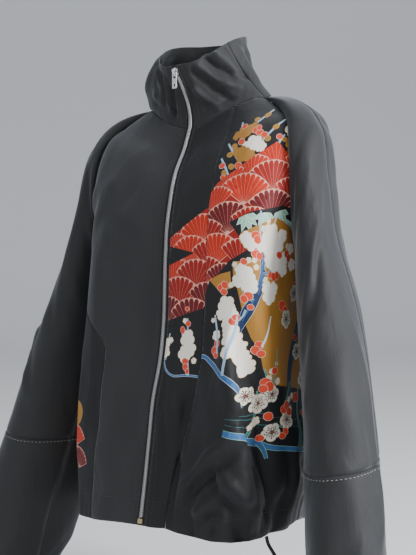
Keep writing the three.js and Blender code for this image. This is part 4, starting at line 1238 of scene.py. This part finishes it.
wide_pine = wide.lay([
    (70, 172), (88, 147), (130, 118), (178, 85), (208, 112), (262, 150), (272, 226), (238, 207),
    (226, 186), (204, 181), (149, 191), (116, 206), (129, 223), (146, 247), (119, 262), (101, 282),
    (86, 292), (70, 333),
], "red")
pine_fans(wide, [
    (184, 128, 46, 0.0, "vermilion"), (148, 146, 40, -0.4, "vermilion"),
    (222, 148, 46, 0.35, "vermilion"), (110, 160, 40, -0.4, "vermilion"), (180, 162, 48, -0.05, "red"),
    (214, 182, 44, 0.2, "red"), (136, 180, 46, 0.0, "vermilion"), (254, 182, 44, 0.3, "vermilion"),
    (92, 190, 38, -0.2, "vermilion"), (182, 206, 48, 0.0, "crimson"), (238, 222, 46, 0.15, "red"),
    (114, 224, 48, -0.05, "crimson"), (150, 226, 42, 0.1, "red"), (74, 246, 46, -0.2, "red"),
    (96, 268, 46, 0.0, "vermilion"), (136, 274, 44, 0.15, "red"), (76, 300, 44, -0.1, "red"),
    (110, 306, 40, 0.1, "crimson"), (84, 338, 44, 0.0, "crimson"),
], wide_pine, needles=10)
bamboo(wide, [
    (141, 196, 25, 0.35), (170, 193, 23, 0.1), (199, 189, 25, 0.3), (239, 210, 24, 0.3),
    (222, 203, 18, -0.3),
])

# Gold clouds with plum blossom, and the trunk that bends through them.
wide.lay([
    (134, 222), (160, 211), (191, 198), (222, 210), (250, 226), (292, 250), (302, 470), (273, 461),
    (236, 452), (206, 446), (190, 440), (180, 420), (172, 395), (158, 376), (146, 352), (139, 325),
    (133, 302), (126, 284), (124, 264), (158, 261), (150, 243),
], "gold")
wide.lay([(86, 291), (104, 282), (121, 278), (124, 302), (106, 309)], "gold")
branch(wide, [
    (302, 316), (284, 336), (266, 368), (251, 400), (242, 436), (240, 486),
], [9, 13, 15, 15, 14, 10], "navy", "teal")
strokes(wide, [0.6, 1.4, 0.6], "teal", [
    [(276, 352), (262, 378), (253, 404)], [(262, 362), (252, 392), (246, 420)],
    [(252, 408), (247, 440), (244, 470)], [(282, 346), (270, 368), (259, 396)],
])
branch(wide, [
    (168, 247), (172, 262), (172, 280), (167, 303), (158, 322), (149, 337), (134, 364),
], [4, 7, 9, 12, 14, 17, 12], "navy", "pale")
branch(wide, [(182, 240), (176, 258), (172, 276)], [2, 3.5, 6], "blue", "pale")
strokes(wide, [0.8, 3, 1.2], "blue", [
    [(170, 262), (169, 284), (164, 304)], [(172, 270), (171, 290), (165, 312)],
    [(160, 318), (152, 332), (142, 350)],
])
branch(wide, [(157, 321), (148, 312), (140, 304)], [3.5, 2.4, 1.4], "blue", "pale")
branch(wide, [(172, 282), (182, 280), (190, 276)], [2.4, 1.8, 1.2], "blue", "pale")
sprays(wide, [1.4, 1.8, 1.4], "sky", "pale", [
    [(163, 190), (164, 212), (165, 232)], [(193, 194), (190, 206), (187, 216)],
    [(226, 238), (221, 250), (218, 258)],
])
plain_blossoms(wide, [
    (184, 224, 17, 0.2), (200, 237, 15, 0.7), (187, 245, 15, 0.1), (208, 226, 11, 0.5),
    (170, 240, 12, 0.9), (152, 236, 13, 0.3), (143, 229, 10, 0.8), (199, 268, 16, 0.5),
    (213, 262, 14, 0.1), (187, 262, 12, 0.9), (218, 276, 11, 0.4), (144, 286, 16, 0.2),
    (152, 300, 13, 0.6), (134, 292, 10, 0.1), (138, 276, 10, 0.9), (186, 314, 14, 0.4),
    (194, 304, 11, 0.9), (180, 302, 10, 0.1), (117, 327, 14, 0.4), (124, 340, 12, 0.1),
    (111, 340, 10, 0.8), (135, 378, 15, 0.3), (127, 364, 12, 0.8), (120, 354, 9, 0.2),
    (142, 392, 13, 0.5), (157, 416, 12, 0.6), (150, 402, 12, 0.2), (146, 386, 10, 0.7),
    (132, 398, 9, 0.3), (104, 372, 8, 0.2), (234, 244, 9, 0.4), (240, 268, 10, 0.6),
])
plain_blossoms(wide, [
    (170, 216, 5, 0.3), (178, 205, 4.2, 0.8), (223, 240, 4.5, 0.2), (158, 262, 4.2, 0.2),
    (177, 291, 5, 0.5), (161, 272, 4.6, 1.0), (128, 268, 4.2, 0.4), (149, 262, 4.4, 0.4),
    (123, 298, 4.2, 0.6), (96, 350, 3.4, 0.3), (193, 424, 4.5, 0.2), (203, 414, 3.6, 0.7),
], "cream")
buds(wide, [
    (158, 226, 6, 0.4), (161, 232, 5.4, 1.1), (160, 253, 6, 0.2), (166, 256, 5, 0.9),
    (205, 254, 5.2, 0.3), (224, 252, 5.6, 0.4), (230, 258, 5, 1.2), (188, 284, 5.2, 0.1),
    (195, 286, 5.6, 0.7), (203, 284, 5, 1.3), (150, 314, 6, 0.3), (144, 318, 5, 0.9),
    (108, 302, 5.8, 0.2), (113, 298, 5, 0.8), (112, 308, 4.6, 0.4), (129, 351, 5.2, 0.6),
    (133, 345, 4.6, 0.2), (142, 264, 4.4, 0.6), (154, 330, 4.2, 0.2), (218, 330, 8, 0.4),
    (226, 338, 7, 0.9), (170, 385, 5.6, 0.3), (166, 393, 5.8, 0.8), (174, 398, 5.2, 0.1),
    (108, 384, 5.2, 0.4), (104, 394, 5.6, 0.9), (110, 400, 4.6, 0.2), (252, 300, 5.6, 0.2),
    (258, 380, 5, 0.5),
])

# Slim sprays, the pale branch and the lower trunks on the black ground, with drawn blossoms.
branch(wide, [
    (70, 404), (84, 403), (97, 409), (112, 417), (127, 427), (140, 436), (150, 450), (154, 470),
], [4, 5, 5.5, 6, 6, 5.5, 4.5, 3], "blue", "pale")
sprays(wide, [1.4, 2.2, 2.8], "sky", "pale", [
    [(134, 342), (133, 380), (131, 428)], [(99, 342), (104, 366), (112, 398)],
    [(137, 348), (143, 342), (147, 334)],
])
branch(wide, [(190, 344), (184, 366), (174, 388)], [1.2, 2, 2.4], "pale", "leaf_line")
branch(wide, [(205, 392), (202, 420), (198, 446), (196, 462)], [1.4, 2, 2.6, 2.4], "teal", "leaf")
branch(wide, [(182, 420), (188, 436), (191, 452)], [1.2, 2, 2.4], "teal", "leaf")
branch(wide, [
    (132, 506), (152, 510), (171, 519), (190, 530), (206, 537), (240, 545), (270, 553), (308, 569),
], [8, 8, 7, 8, 7, 6, 6, 5], "blue", "leaf")
branch(wide, [(189, 528), (197, 540), (202, 553)], [6, 5, 3], "blue", "leaf")
branch(wide, [(176, 452), (178, 478), (172, 505), (167, 520)], [1.6, 2.8, 3.6, 4.4], "teal", "leaf")
branch(wide, [(272, 440), (268, 478), (260, 512), (254, 548)], [2, 3.4, 4.4, 5.4], "teal", "leaf")
branch(wide, [(244, 446), (234, 466), (224, 482)], [1.4, 2.2, 2.2], "teal", "leaf")
branch(wide, [(216, 506), (224, 510), (238, 512)], [2, 2, 1], "teal", "leaf")
strokes(wide, [0.5, 1.3, 0.5], "teal", [
    [(134, 486), (160, 488), (186, 492), (220, 494)], [(134, 494), (170, 500), (196, 502), (214, 500)],
    [(234, 500), (252, 504), (268, 498), (276, 484), (270, 470)], [(150, 482), (176, 484), (204, 486)],
    [(236, 508), (254, 514), (272, 506), (284, 488)],
])
drawn_blossoms(wide, [
    (229, 350, 15, 0.3), (252, 312, 14, 0.8), (284, 446, 15, 0.4), (158, 455, 13, 0.5),
    (199, 458, 13, 1.0), (179, 470, 15, 0.2), (232, 500, 15, 0.6), (204, 514, 14, 0.3),
    (264, 402, 13, 0.5), (282, 388, 12, 0.1), (290, 520, 13, 0.7),
])
plain_blossoms(wide, [
    (179, 496, 7, 0.3), (172, 500, 5, 0.9), (240, 472, 5, 0.4), (250, 468, 5, 0.8), (190, 434, 5, 0.2),
    (208, 440, 5.5, 0.7), (244, 486, 4.5, 0.3),
], "cream")
buds(wide, [
    (186, 440, 6.6, 0.2), (193, 446, 6.4, 0.8), (184, 449, 5.6, 0.4), (200, 424, 5.4, 0.2),
    (197, 490, 5.8, 0.5), (226, 484, 6.4, 0.3), (234, 480, 6.6, 0.9), (240, 490, 5.8, 0.2),
    (190, 522, 4.8, 0.4), (222, 522, 5, 0.2), (228, 516, 4.4, 0.9), (262, 472, 7.4, 0.3),
    (280, 500, 6, 0.6), (286, 540, 5.6, 0.1),
])

for name, art, from_way, to_way, inner_edge in (
        ("left_front", strip, beside_zip, left_centre_width, "zip"),
        ("left_side_front", wide, left_centre_width, side_seam, "left")):
    printed, grid = printed_piece(f"cloth_{name}", art, 1, from_way, to_way, [inner_edge, "right", "top"])
    finish_cloth(printed, name, printed_silk)


# Collar: three pieces of black silk that stand up from the neckline, fuller on the wearer's right,
# highest behind the neck, with the cloth turned in at the rim.
RIM = np.array([  # x y z bulgeLeft bulgeRight
    [0, -105, 41, -15, -15],
    [30, -95, 47, -12, -8],
    [52, -73, 64, -8, 5],
    [65, -38, 87, -7, 17],
    [64, 5, 103, -10, 17],
    [43, 44, 109, -8, 6],
    [0, 60, 110, 2, 2],
])
COLLAR_CREASES = [  # side fromWay fromUp toWay toUp widthIn widthOut height, from the zip and the seam
    (1, 14, 64, 62, 4, 6, 8, 4.0),
    (1, 26, 84, 84, 12, 7, 6, -4.6),
    (1, 40, 92, 98, 26, 8, 7, 4.4),
    (1, 66, 92, 108, 40, 7, 7, -4.4),
    (1, 92, 96, 118, 48, 7, 8, 3.6),
    (1, 116, 100, 126, 30, 8, 9, -3.0),
    (1, 150, 100, 150, 20, 10, 10, 2.6),
    (1, 178, 100, 172, 20, 10, 10, -2.4),
    (1, 196, 100, 190, 10, 14, 14, 2.2),
    (1, 24, 24, 92, 10, 5, 6, -3.0),
    (1, 60, 44, 110, 24, 6, 7, 2.6),
    (-1, 16, 60, 20, 10, 5, 6, 3.0),
    (-1, 26, 66, 32, 8, 6, 7, -4.2),
    (-1, 42, 78, 38, 10, 6, 7, 4.2),
    (-1, 58, 84, 54, 16, 7, 7, -3.6),
    (-1, 74, 88, 84, 24, 8, 7, 3.4),
    (-1, 92, 92, 76, 34, 8, 9, -3.4),
    (-1, 112, 96, 122, 20, 10, 10, 3.0),
    (-1, 140, 98, 150, 24, 10, 10, -2.8),
    (-1, 186, 100, 190, 20, 14, 12, 2.4),
    (-1, 20, 22, 96, 16, 5, 6, -2.4),
]
COLLAR_GAIN = 1.7
COLLAR_RUMPLE = 0.8
BULGE_LOW = 0.85
COLLAR_FRONT_CELLS = 90
COLLAR_BACK_CELLS = 70
COLLAR_ROWS = 56
NECK_POINTS = 60
NECK_SIDE_POINTS = 13


def neck_arc(rows, side, start):
    """The neckline of one front or back, from a distance past the middle round to the raglan seam."""
    row_z, seam_z, x, y, marks = section(rows, 0)
    way = np.linspace(start, marks[-1], NECK_POINTS)
    height = row_z + (seam_z - row_z) * ease(way / marks[-1])
    return np.stack([side * np.interp(way, marks, x), np.interp(way, marks, y), height], axis=1)


def neckline(side):
    """Points from the zip to the middle of the back, their distances and the raglan seam's place."""
    front, back = neck_arc(FRONT, side, ZIP_HALF), neck_arc(BACK, side, 0)[::-1]
    sleeve = [neck_side_point(side, t) for t in np.linspace(0, 1, NECK_SIDE_POINTS)[1:]]
    points = np.concatenate([front, sleeve, back[1:]])
    return points, run_along(points), len(front) - 1


def collar_grid(side, from_share, to_share, cells, heights):
    points, ways, seam = neckline(side)
    total = ways[-1] + ZIP_HALF
    limits = {"zip": 0, "seam": ways[seam], "back": ways[-1]}
    stations = np.linspace(limits[from_share], limits[to_share], cells)
    base = read_at(stations, ways, points)
    rows = []
    for h in heights:
        line = []
        for p, way in zip(base, stations):
            x, y, z, left_bulge, right_bulge = along(RIM, (way + ZIP_HALF) / total * (len(RIM) - 1))
            rim = np.array([side * x, y, z])
            out = np.array([p[0] + rim[0], p[1] + rim[1], 0])
            bulge = (left_bulge if side > 0 else right_bulge) * math.sin(math.pi * h ** BULGE_LOW)
            q = p + (rim - p) * h + out / np.linalg.norm(out) * bulge
            if way == 0:
                q[0] = side * ZIP_HALF
            line.append(q)
        rows.append(line)
    grid = np.array(rows)
    core = grid * np.array([0, 0, 1])
    up = np.linalg.norm(grid - grid[:1], axis=2)
    round_way = stations[None, :] + 0 * up
    small = crease_height(COLLAR_CREASES, side, round_way, up, COLLAR_GAIN)
    small = small + COLLAR_RUMPLE * rumple(round_way, up, side)
    small = small * ease(round_way / 12) * ease(up / 10) * ease((up[-1:] - up) / 10 + 0.35)
    return pushed(grid, core, small), core


collar_heights = np.linspace(0, 1, COLLAR_ROWS)
zip_edge = {}
for word, side in (("left", 1), ("right", -1)):
    grid, core = collar_grid(side, "zip", "seam", COLLAR_FRONT_CELLS, collar_heights)
    zip_edge[side] = grid[1:, 0][::-1]
    grid = pushed(grid, core, seam_sink(grid, ["right", "top", "bottom"], side) + placket(grid))
    note_stitches(f"collar_{word}", grid, core, True)
    collar_front = cloth_piece(f"cloth_collar_{word}", grid, core)
    finish_cloth(collar_front, f"collar_{word}")
left_half, left_core = collar_grid(1, "seam", "back", COLLAR_BACK_CELLS, collar_heights)
right_half, right_core = collar_grid(-1, "seam", "back", COLLAR_BACK_CELLS, collar_heights)
grid = np.concatenate([left_half, right_half[:, -2::-1]], axis=1)
core = np.concatenate([left_core, right_core[:, -2::-1]], axis=1)
grid = pushed(grid, core, seam_sink(grid, ["left", "right", "top", "bottom"], 5))
collar_back = cloth_piece("cloth_collar_back", grid, core)
finish_cloth(collar_back, "collar_back")


# Zip tapes: two strips of black woven tape, finely ribbed, which are sewn under the folded edges of
# the fronts and the collar and hold the teeth.
TAPE_WALL = 1.2
TAPE_SUNK = 0.7
tape_black, tree, shader = new_material("tape_black", {
    "Base Color": (0.008, 0.008, 0.009, 1), "Roughness": 0.75,
})
uv = add_node(tree, "ShaderNodeUVMap", {}, uv_map="cloth")
ribs = add_node(tree, "ShaderNodeMapping", {"Scale": (1200, 700, 1), "Vector": uv.outputs["UV"]})
rib = add_node(tree, "ShaderNodeTexChecker", {"Scale": 1, "Vector": ribs.outputs["Vector"]})
raised = add_node(tree, "ShaderNodeBump", {"Distance": 0.0001, "Height": rib.outputs["Fac"]})
feed(shader, {"Normal": raised.outputs["Normal"]})

tape_lines = {}
for word, side in (("right", -1), ("left", 1)):
    body, _, _, _ = body_grid(FRONT, side, body_rows, at_middle, beside_zip, 3)
    columns = side * np.linspace(0, ZIP_HALF, 4)
    up = np.repeat(zip_edge[side][:, None], 4, axis=1)
    up[:, :, 0] = columns
    grid = np.concatenate([up, body])
    tape_lines[side] = grid[:, 0]
    core = grid * np.array([0, 0, 1])
    grid = pushed(grid, core, np.full(grid.shape[:2], -TAPE_SUNK))
    tape = cloth_piece(f"cloth_zip_tape_{word}", grid, core, wall=TAPE_WALL)
    tape.data.materials.append(tape_black)
    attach(tape, "jacket")
    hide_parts(f"zip_tape_{word}")


# Repeats along a line, for the zip's teeth and the sewing: one small piece is set at every place,
# turned the way its "turn" says, then made into one mesh.
repeat = bpy.data.node_groups.new("repeat_on_places", "GeometryNodeTree")
for label, kind in (("Places", "NodeSocketGeometry"), ("Piece", "NodeSocketObject"),
                    ("Finish", "NodeSocketMaterial")):
    repeat.interface.new_socket(label, in_out="INPUT", socket_type=kind)
repeat.interface.new_socket("Result", in_out="OUTPUT", socket_type="NodeSocketGeometry")
start = add_node(repeat, "NodeGroupInput", {})
piece_info = add_node(repeat, "GeometryNodeObjectInfo", {"Object": start.outputs["Piece"]})
turn_of = add_node(repeat, "GeometryNodeInputNamedAttribute", {"Name": "turn"}, data_type="FLOAT_VECTOR")
put = add_node(repeat, "GeometryNodeInstanceOnPoints", {
    "Points": start.outputs["Places"], "Instance": piece_info.outputs["Geometry"],
    "Rotation": turn_of.outputs["Attribute"],
})
real = add_node(repeat, "GeometryNodeRealizeInstances", {"Geometry": put.outputs["Instances"]})
finish = add_node(repeat, "GeometryNodeSetMaterial", {
    "Geometry": real.outputs["Geometry"], "Material": start.outputs["Finish"],
})
add_node(repeat, "NodeGroupOutput", {"Result": finish.outputs["Geometry"]})


def apply_modifiers(obj):
    """Leaves the object with its modifiers worked into its mesh."""
    seen = obj.evaluated_get(bpy.context.evaluated_depsgraph_get())
    mesh = bpy.data.meshes.new_from_object(seen)
    obj.modifiers.clear()
    obj.data = mesh


def repeated(name, places, rights, outs, piece, material):
    """The piece at every place, its own X along rights and its own Z along outs."""
    obj = link_mesh(name, places, [])
    turns = []
    for right, out in zip(rights, outs):
        z = Vector(out).normalized()
        x = Vector(right)
        x = (x - z * x.dot(z)).normalized()
        turns.append(tuple(Matrix((x, z.cross(x), z)).transposed().to_euler()))
    turn = obj.data.attributes.new("turn", "FLOAT_VECTOR", "POINT")
    turn.data.foreach_set("vector", np.array(turns).ravel())
    modifier = obj.modifiers.new("repeat", "NODES")
    modifier.node_group = repeat
    values = {"Piece": piece, "Finish": material}
    for item in repeat.interface.items_tree:
        if item.name in values:
            modifier[item.identifier] = values[item.name]
    apply_modifiers(obj)
    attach(obj, "jacket")
    return obj


AHEAD = 0.8  # how far a place looks each way along its line for the direction there


def spaced(line, outs, pitch, start):
    """Places a pitch apart along a line, with its direction and its outward way at each."""
    run = run_along(line)
    at = np.arange(start, run[-1], pitch)
    ahead = read_at(at + AHEAD, run, line) - read_at(at - AHEAD, run, line)
    return read_at(at, run, line), ahead, read_at(at, run, outs)


# Zip chain: two rows of silver-coloured metal teeth held in each other, from the slider down to a
# gold-coloured bottom stop, each tooth clamped on the edge of its tape.
def metal(name, colour, roughness):
    material, tree, shader = new_material(name, {"Base Color": colour, "Metallic": 1})
    place = add_node(tree, "ShaderNodeTexCoord", {})
    wear = add_node(tree, "ShaderNodeTexNoise", {"Scale": 400, "Vector": place.outputs["Object"]})
    dull = add_node(tree, "ShaderNodeMapRange", {
        "To Min": roughness - 0.08, "To Max": roughness + 0.1, "Value": wear.outputs["Fac"],
    })
    feed(shader, {"Roughness": dull.outputs["Result"]})
    return material


silver = metal("silver_metal", (0.76, 0.76, 0.76, 1), 0.38)
brass = metal("gold_metal", (0.56, 0.45, 0.25, 1), 0.36)
TOOTH_PITCH = 2.4
TOOTH_SUNK = 0.1
CHAIN_END_GAP = 1.2
TOOTH_FROM, TOOTH_TO = -0.5, 2.9
TOOTH = [  # distance across the zip, half the width there
    (TOOTH_FROM, 0.36), (0.4, 0.62), (1.6, 0.5), (TOOTH_TO, 0.72),
]
tooth_points, tooth_faces = [], []
for height, shrink in ((0.0, 0.0), (1.55, 0.0), (1.95, 0.2)):
    for way, outline in ((1, TOOTH), (-1, TOOTH[::-1])):
        for x, half in outline:
            x = min(TOOTH_TO - shrink, max(shrink + TOOTH_FROM, x))
            tooth_points.append((x, way * (half - shrink), height))
ring = 2 * len(TOOTH)
for level in (0, ring):
    for k in range(ring):
        m = (k + 1) % ring
        tooth_faces.append((level + m, level + k, level + ring + k, level + ring + m))
tooth_faces.append(tuple(range(ring)))
tooth_faces.append(tuple(range(3 * ring - 1, 2 * ring - 1, -1)))
tooth = link_mesh("tooth", tooth_points, tooth_faces)
tooth.data.shade_flat()
line = (tape_lines[1] + tape_lines[-1]) / 2
line[:, 0] = 0
along_zip = np.gradient(line, axis=0)
zip_outs = np.stack([0 * along_zip[:, 0], along_zip[:, 2], -along_zip[:, 1]], axis=1)
zip_outs /= np.linalg.norm(zip_outs, axis=1)[:, None]
chain_low, chain_high = (corner.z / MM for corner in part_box("zip_chain"))
for word, side in (("right", -1), ("left", 1)):
    places, _, outs = spaced(line, zip_outs, TOOTH_PITCH, TOOTH_PITCH / 2 if side > 0 else 0.0)
    kept = (chain_low + CHAIN_END_GAP < places[:, 2]) & (places[:, 2] < chain_high - CHAIN_END_GAP)
    places, outs = places[kept], outs[kept]
    teeth = repeated(f"zip_teeth_{word}", places - TOOTH_SUNK * outs, [(side, 0, 0)] * len(places),
                     outs, tooth, silver)
    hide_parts("zip_chain")
bpy.data.objects.remove(tooth)


# Bottom stop, slider and pull tab: cast metal with softly rounded edges. The slider is fixed on the
# closed chain and the tab hangs from its bridge and swings.
MERGE = 0.000002
BEVEL_SEGMENTS = 3
BEVEL_ABOVE = math.radians(40)


def metal_piece(name, node, material, round_by, body):
    work = bmesh.new()
    work.from_mesh(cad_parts[node].data)
    bmesh.ops.remove_doubles(work, verts=work.verts, dist=MERGE)
    mesh = bpy.data.meshes.new(name)
    work.to_mesh(mesh)
    work.free()
    mesh.materials.clear()
    mesh.materials.append(material)
    obj = bpy.data.objects.new(name, mesh)
    bpy.context.collection.objects.link(obj)
    bevel = obj.modifiers.new("round", "BEVEL")
    bevel.width = round_by * MM
    bevel.segments = BEVEL_SEGMENTS
    bevel.limit_method = "ANGLE"
    bevel.angle_limit = BEVEL_ABOVE
    apply_modifiers(obj)
    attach(obj, body)
    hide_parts(node)
    return obj


metal_piece("metal_bottom_stop", "zip_bottom_stop", brass, 0.6, "jacket")
metal_piece("metal_slider", "slider", silver, 0.4, "jacket")
metal_piece("metal_pull_tab", "pull_tab", silver, 0.28, "pull_tab")


# Sewing: twisted thread in short bowed stitches whose ends sink into the cloth, black along the zip
# and the casing, and a pale dotted row below the seam of each lower sleeve.
def thread(name, colour):
    material, tree, shader = new_material(name, {"Roughness": 0.55, "Sheen Weight": 0.2})
    place = add_node(tree, "ShaderNodeTexCoord", {})
    twist = add_node(tree, "ShaderNodeTexNoise", {"Scale": 900, "Vector": place.outputs["Object"]})
    tint = add_node(tree, "ShaderNodeMix", {
        "A": tuple(0.7 * c for c in colour) + (1,), "B": tuple(1.3 * c for c in colour) + (1,),
        "Factor": twist.outputs["Fac"],
    }, data_type="RGBA")
    feed(shader, {"Base Color": tint.outputs["Result"]})
    return material


def stitch(name, long, radius):
    """One stitch: a short bowed thread whose ends go into the cloth."""
    path = [(x * long / 2, 0, radius * (0.9 - 1.3 * x * x)) for x in np.linspace(-1, 1, 5)]
    return tube(name, path, radius, 5)


black_thread = thread("black_thread", (0.018, 0.019, 0.021))
pale_thread = thread("pale_thread", (0.30, 0.30, 0.29))
STITCH_PITCH = 3.0
STITCH_LENGTH = 2.3
STITCH_RADIUS = 0.24
DOT_PITCH = 6.2
DOT_LENGTH = 2.6
DOT_RADIUS = 0.42
small = stitch("stitch", STITCH_LENGTH, STITCH_RADIUS)
for name, seam, outs in stitch_lines:
    places, ways, away = spaced(seam, outs, STITCH_PITCH, STITCH_PITCH / 2)
    repeated(f"sewing_{name}", places, ways, away, small, black_thread)
bpy.data.objects.remove(small)
dot = stitch("stitch", DOT_LENGTH, DOT_RADIUS)
for (word, half), (seam, outs) in sleeve_seams.items():
    places, ways, away = spaced(seam, outs, DOT_PITCH, DOT_PITCH / 2)
    repeated(f"sewing_{word}_sleeve_{half}", places, ways, away, dot, pale_thread)
bpy.data.objects.remove(dot)


# Studio: a plain pale floor that curves up into a wall behind, soft daylight from the viewer's right
# and a little behind, and a weaker fill from the front.
FLOOR = -0.862
LIGHTS_AIM = Vector((0, 0, -0.35))
forward = np.array([-math.sin(VIEW_TURN), math.cos(VIEW_TURN)])
right = np.array([math.cos(VIEW_TURN), math.sin(VIEW_TURN)])
COVE_AT = 5.5
COVE_ROUND = 2.5
COVE_STEPS = 16
FLOOR_FROM = -9.0
WALL_HEIGHT = 7.0
HALF_WIDTH = 12
profile = [(FLOOR_FROM, 0.0), (COVE_AT, 0.0)]
for k in range(1, COVE_STEPS + 1):
    a = math.pi / 2 * k / COVE_STEPS
    profile.append((COVE_AT + COVE_ROUND * math.sin(a), COVE_ROUND * (1 - math.cos(a))))
profile.append((COVE_AT + COVE_ROUND, WALL_HEIGHT))
points, faces = [], []
for reach, up in profile:
    for aside in (-HALF_WIDTH, HALF_WIDTH):
        x, y = forward * reach + right * aside
        points.append((x / MM, y / MM, (FLOOR + up) / MM))
for k in range(len(profile) - 1):
    faces.append((2 * k, 2 * k + 1, 2 * k + 3, 2 * k + 2))
cove = link_mesh("cove", points, faces)
pale_grey, _, _ = new_material("pale_grey", {"Base Color": (0.74, 0.74, 0.75, 1), "Roughness": 0.9})
cove.data.materials.append(pale_grey)


def soft_light(name, aside, ahead, up, size, watts, colour):
    data = bpy.data.lights.new(name, "AREA")
    data.shape = "SQUARE"
    data.size = size
    data.energy = watts
    data.color = colour
    lamp = bpy.data.objects.new(name, data)
    x, y = right * aside + forward * ahead
    lamp.location = (x, y, up)
    lamp.rotation_euler = (LIGHTS_AIM - lamp.location).to_track_quat("-Z", "Y").to_euler()
    bpy.context.collection.objects.link(lamp)


soft_light("window", 2.0, -1.2, 0.5, 1.0, 100, (0.97, 0.985, 1.0))
soft_light("fill", -0.9, -2.3, 1.0, 1.8, 12, (1.0, 0.98, 0.96))
soft_light("top", 0.2, 0.3, 2.1, 1.6, 24, (0.97, 0.98, 1.0))
world = bpy.data.worlds.new("daylight")
bpy.context.scene.world = world
world.use_nodes = True
feed(world.node_tree.nodes["Background"], {"Color": (0.86, 0.9, 0.95, 1), "Strength": 0.72})
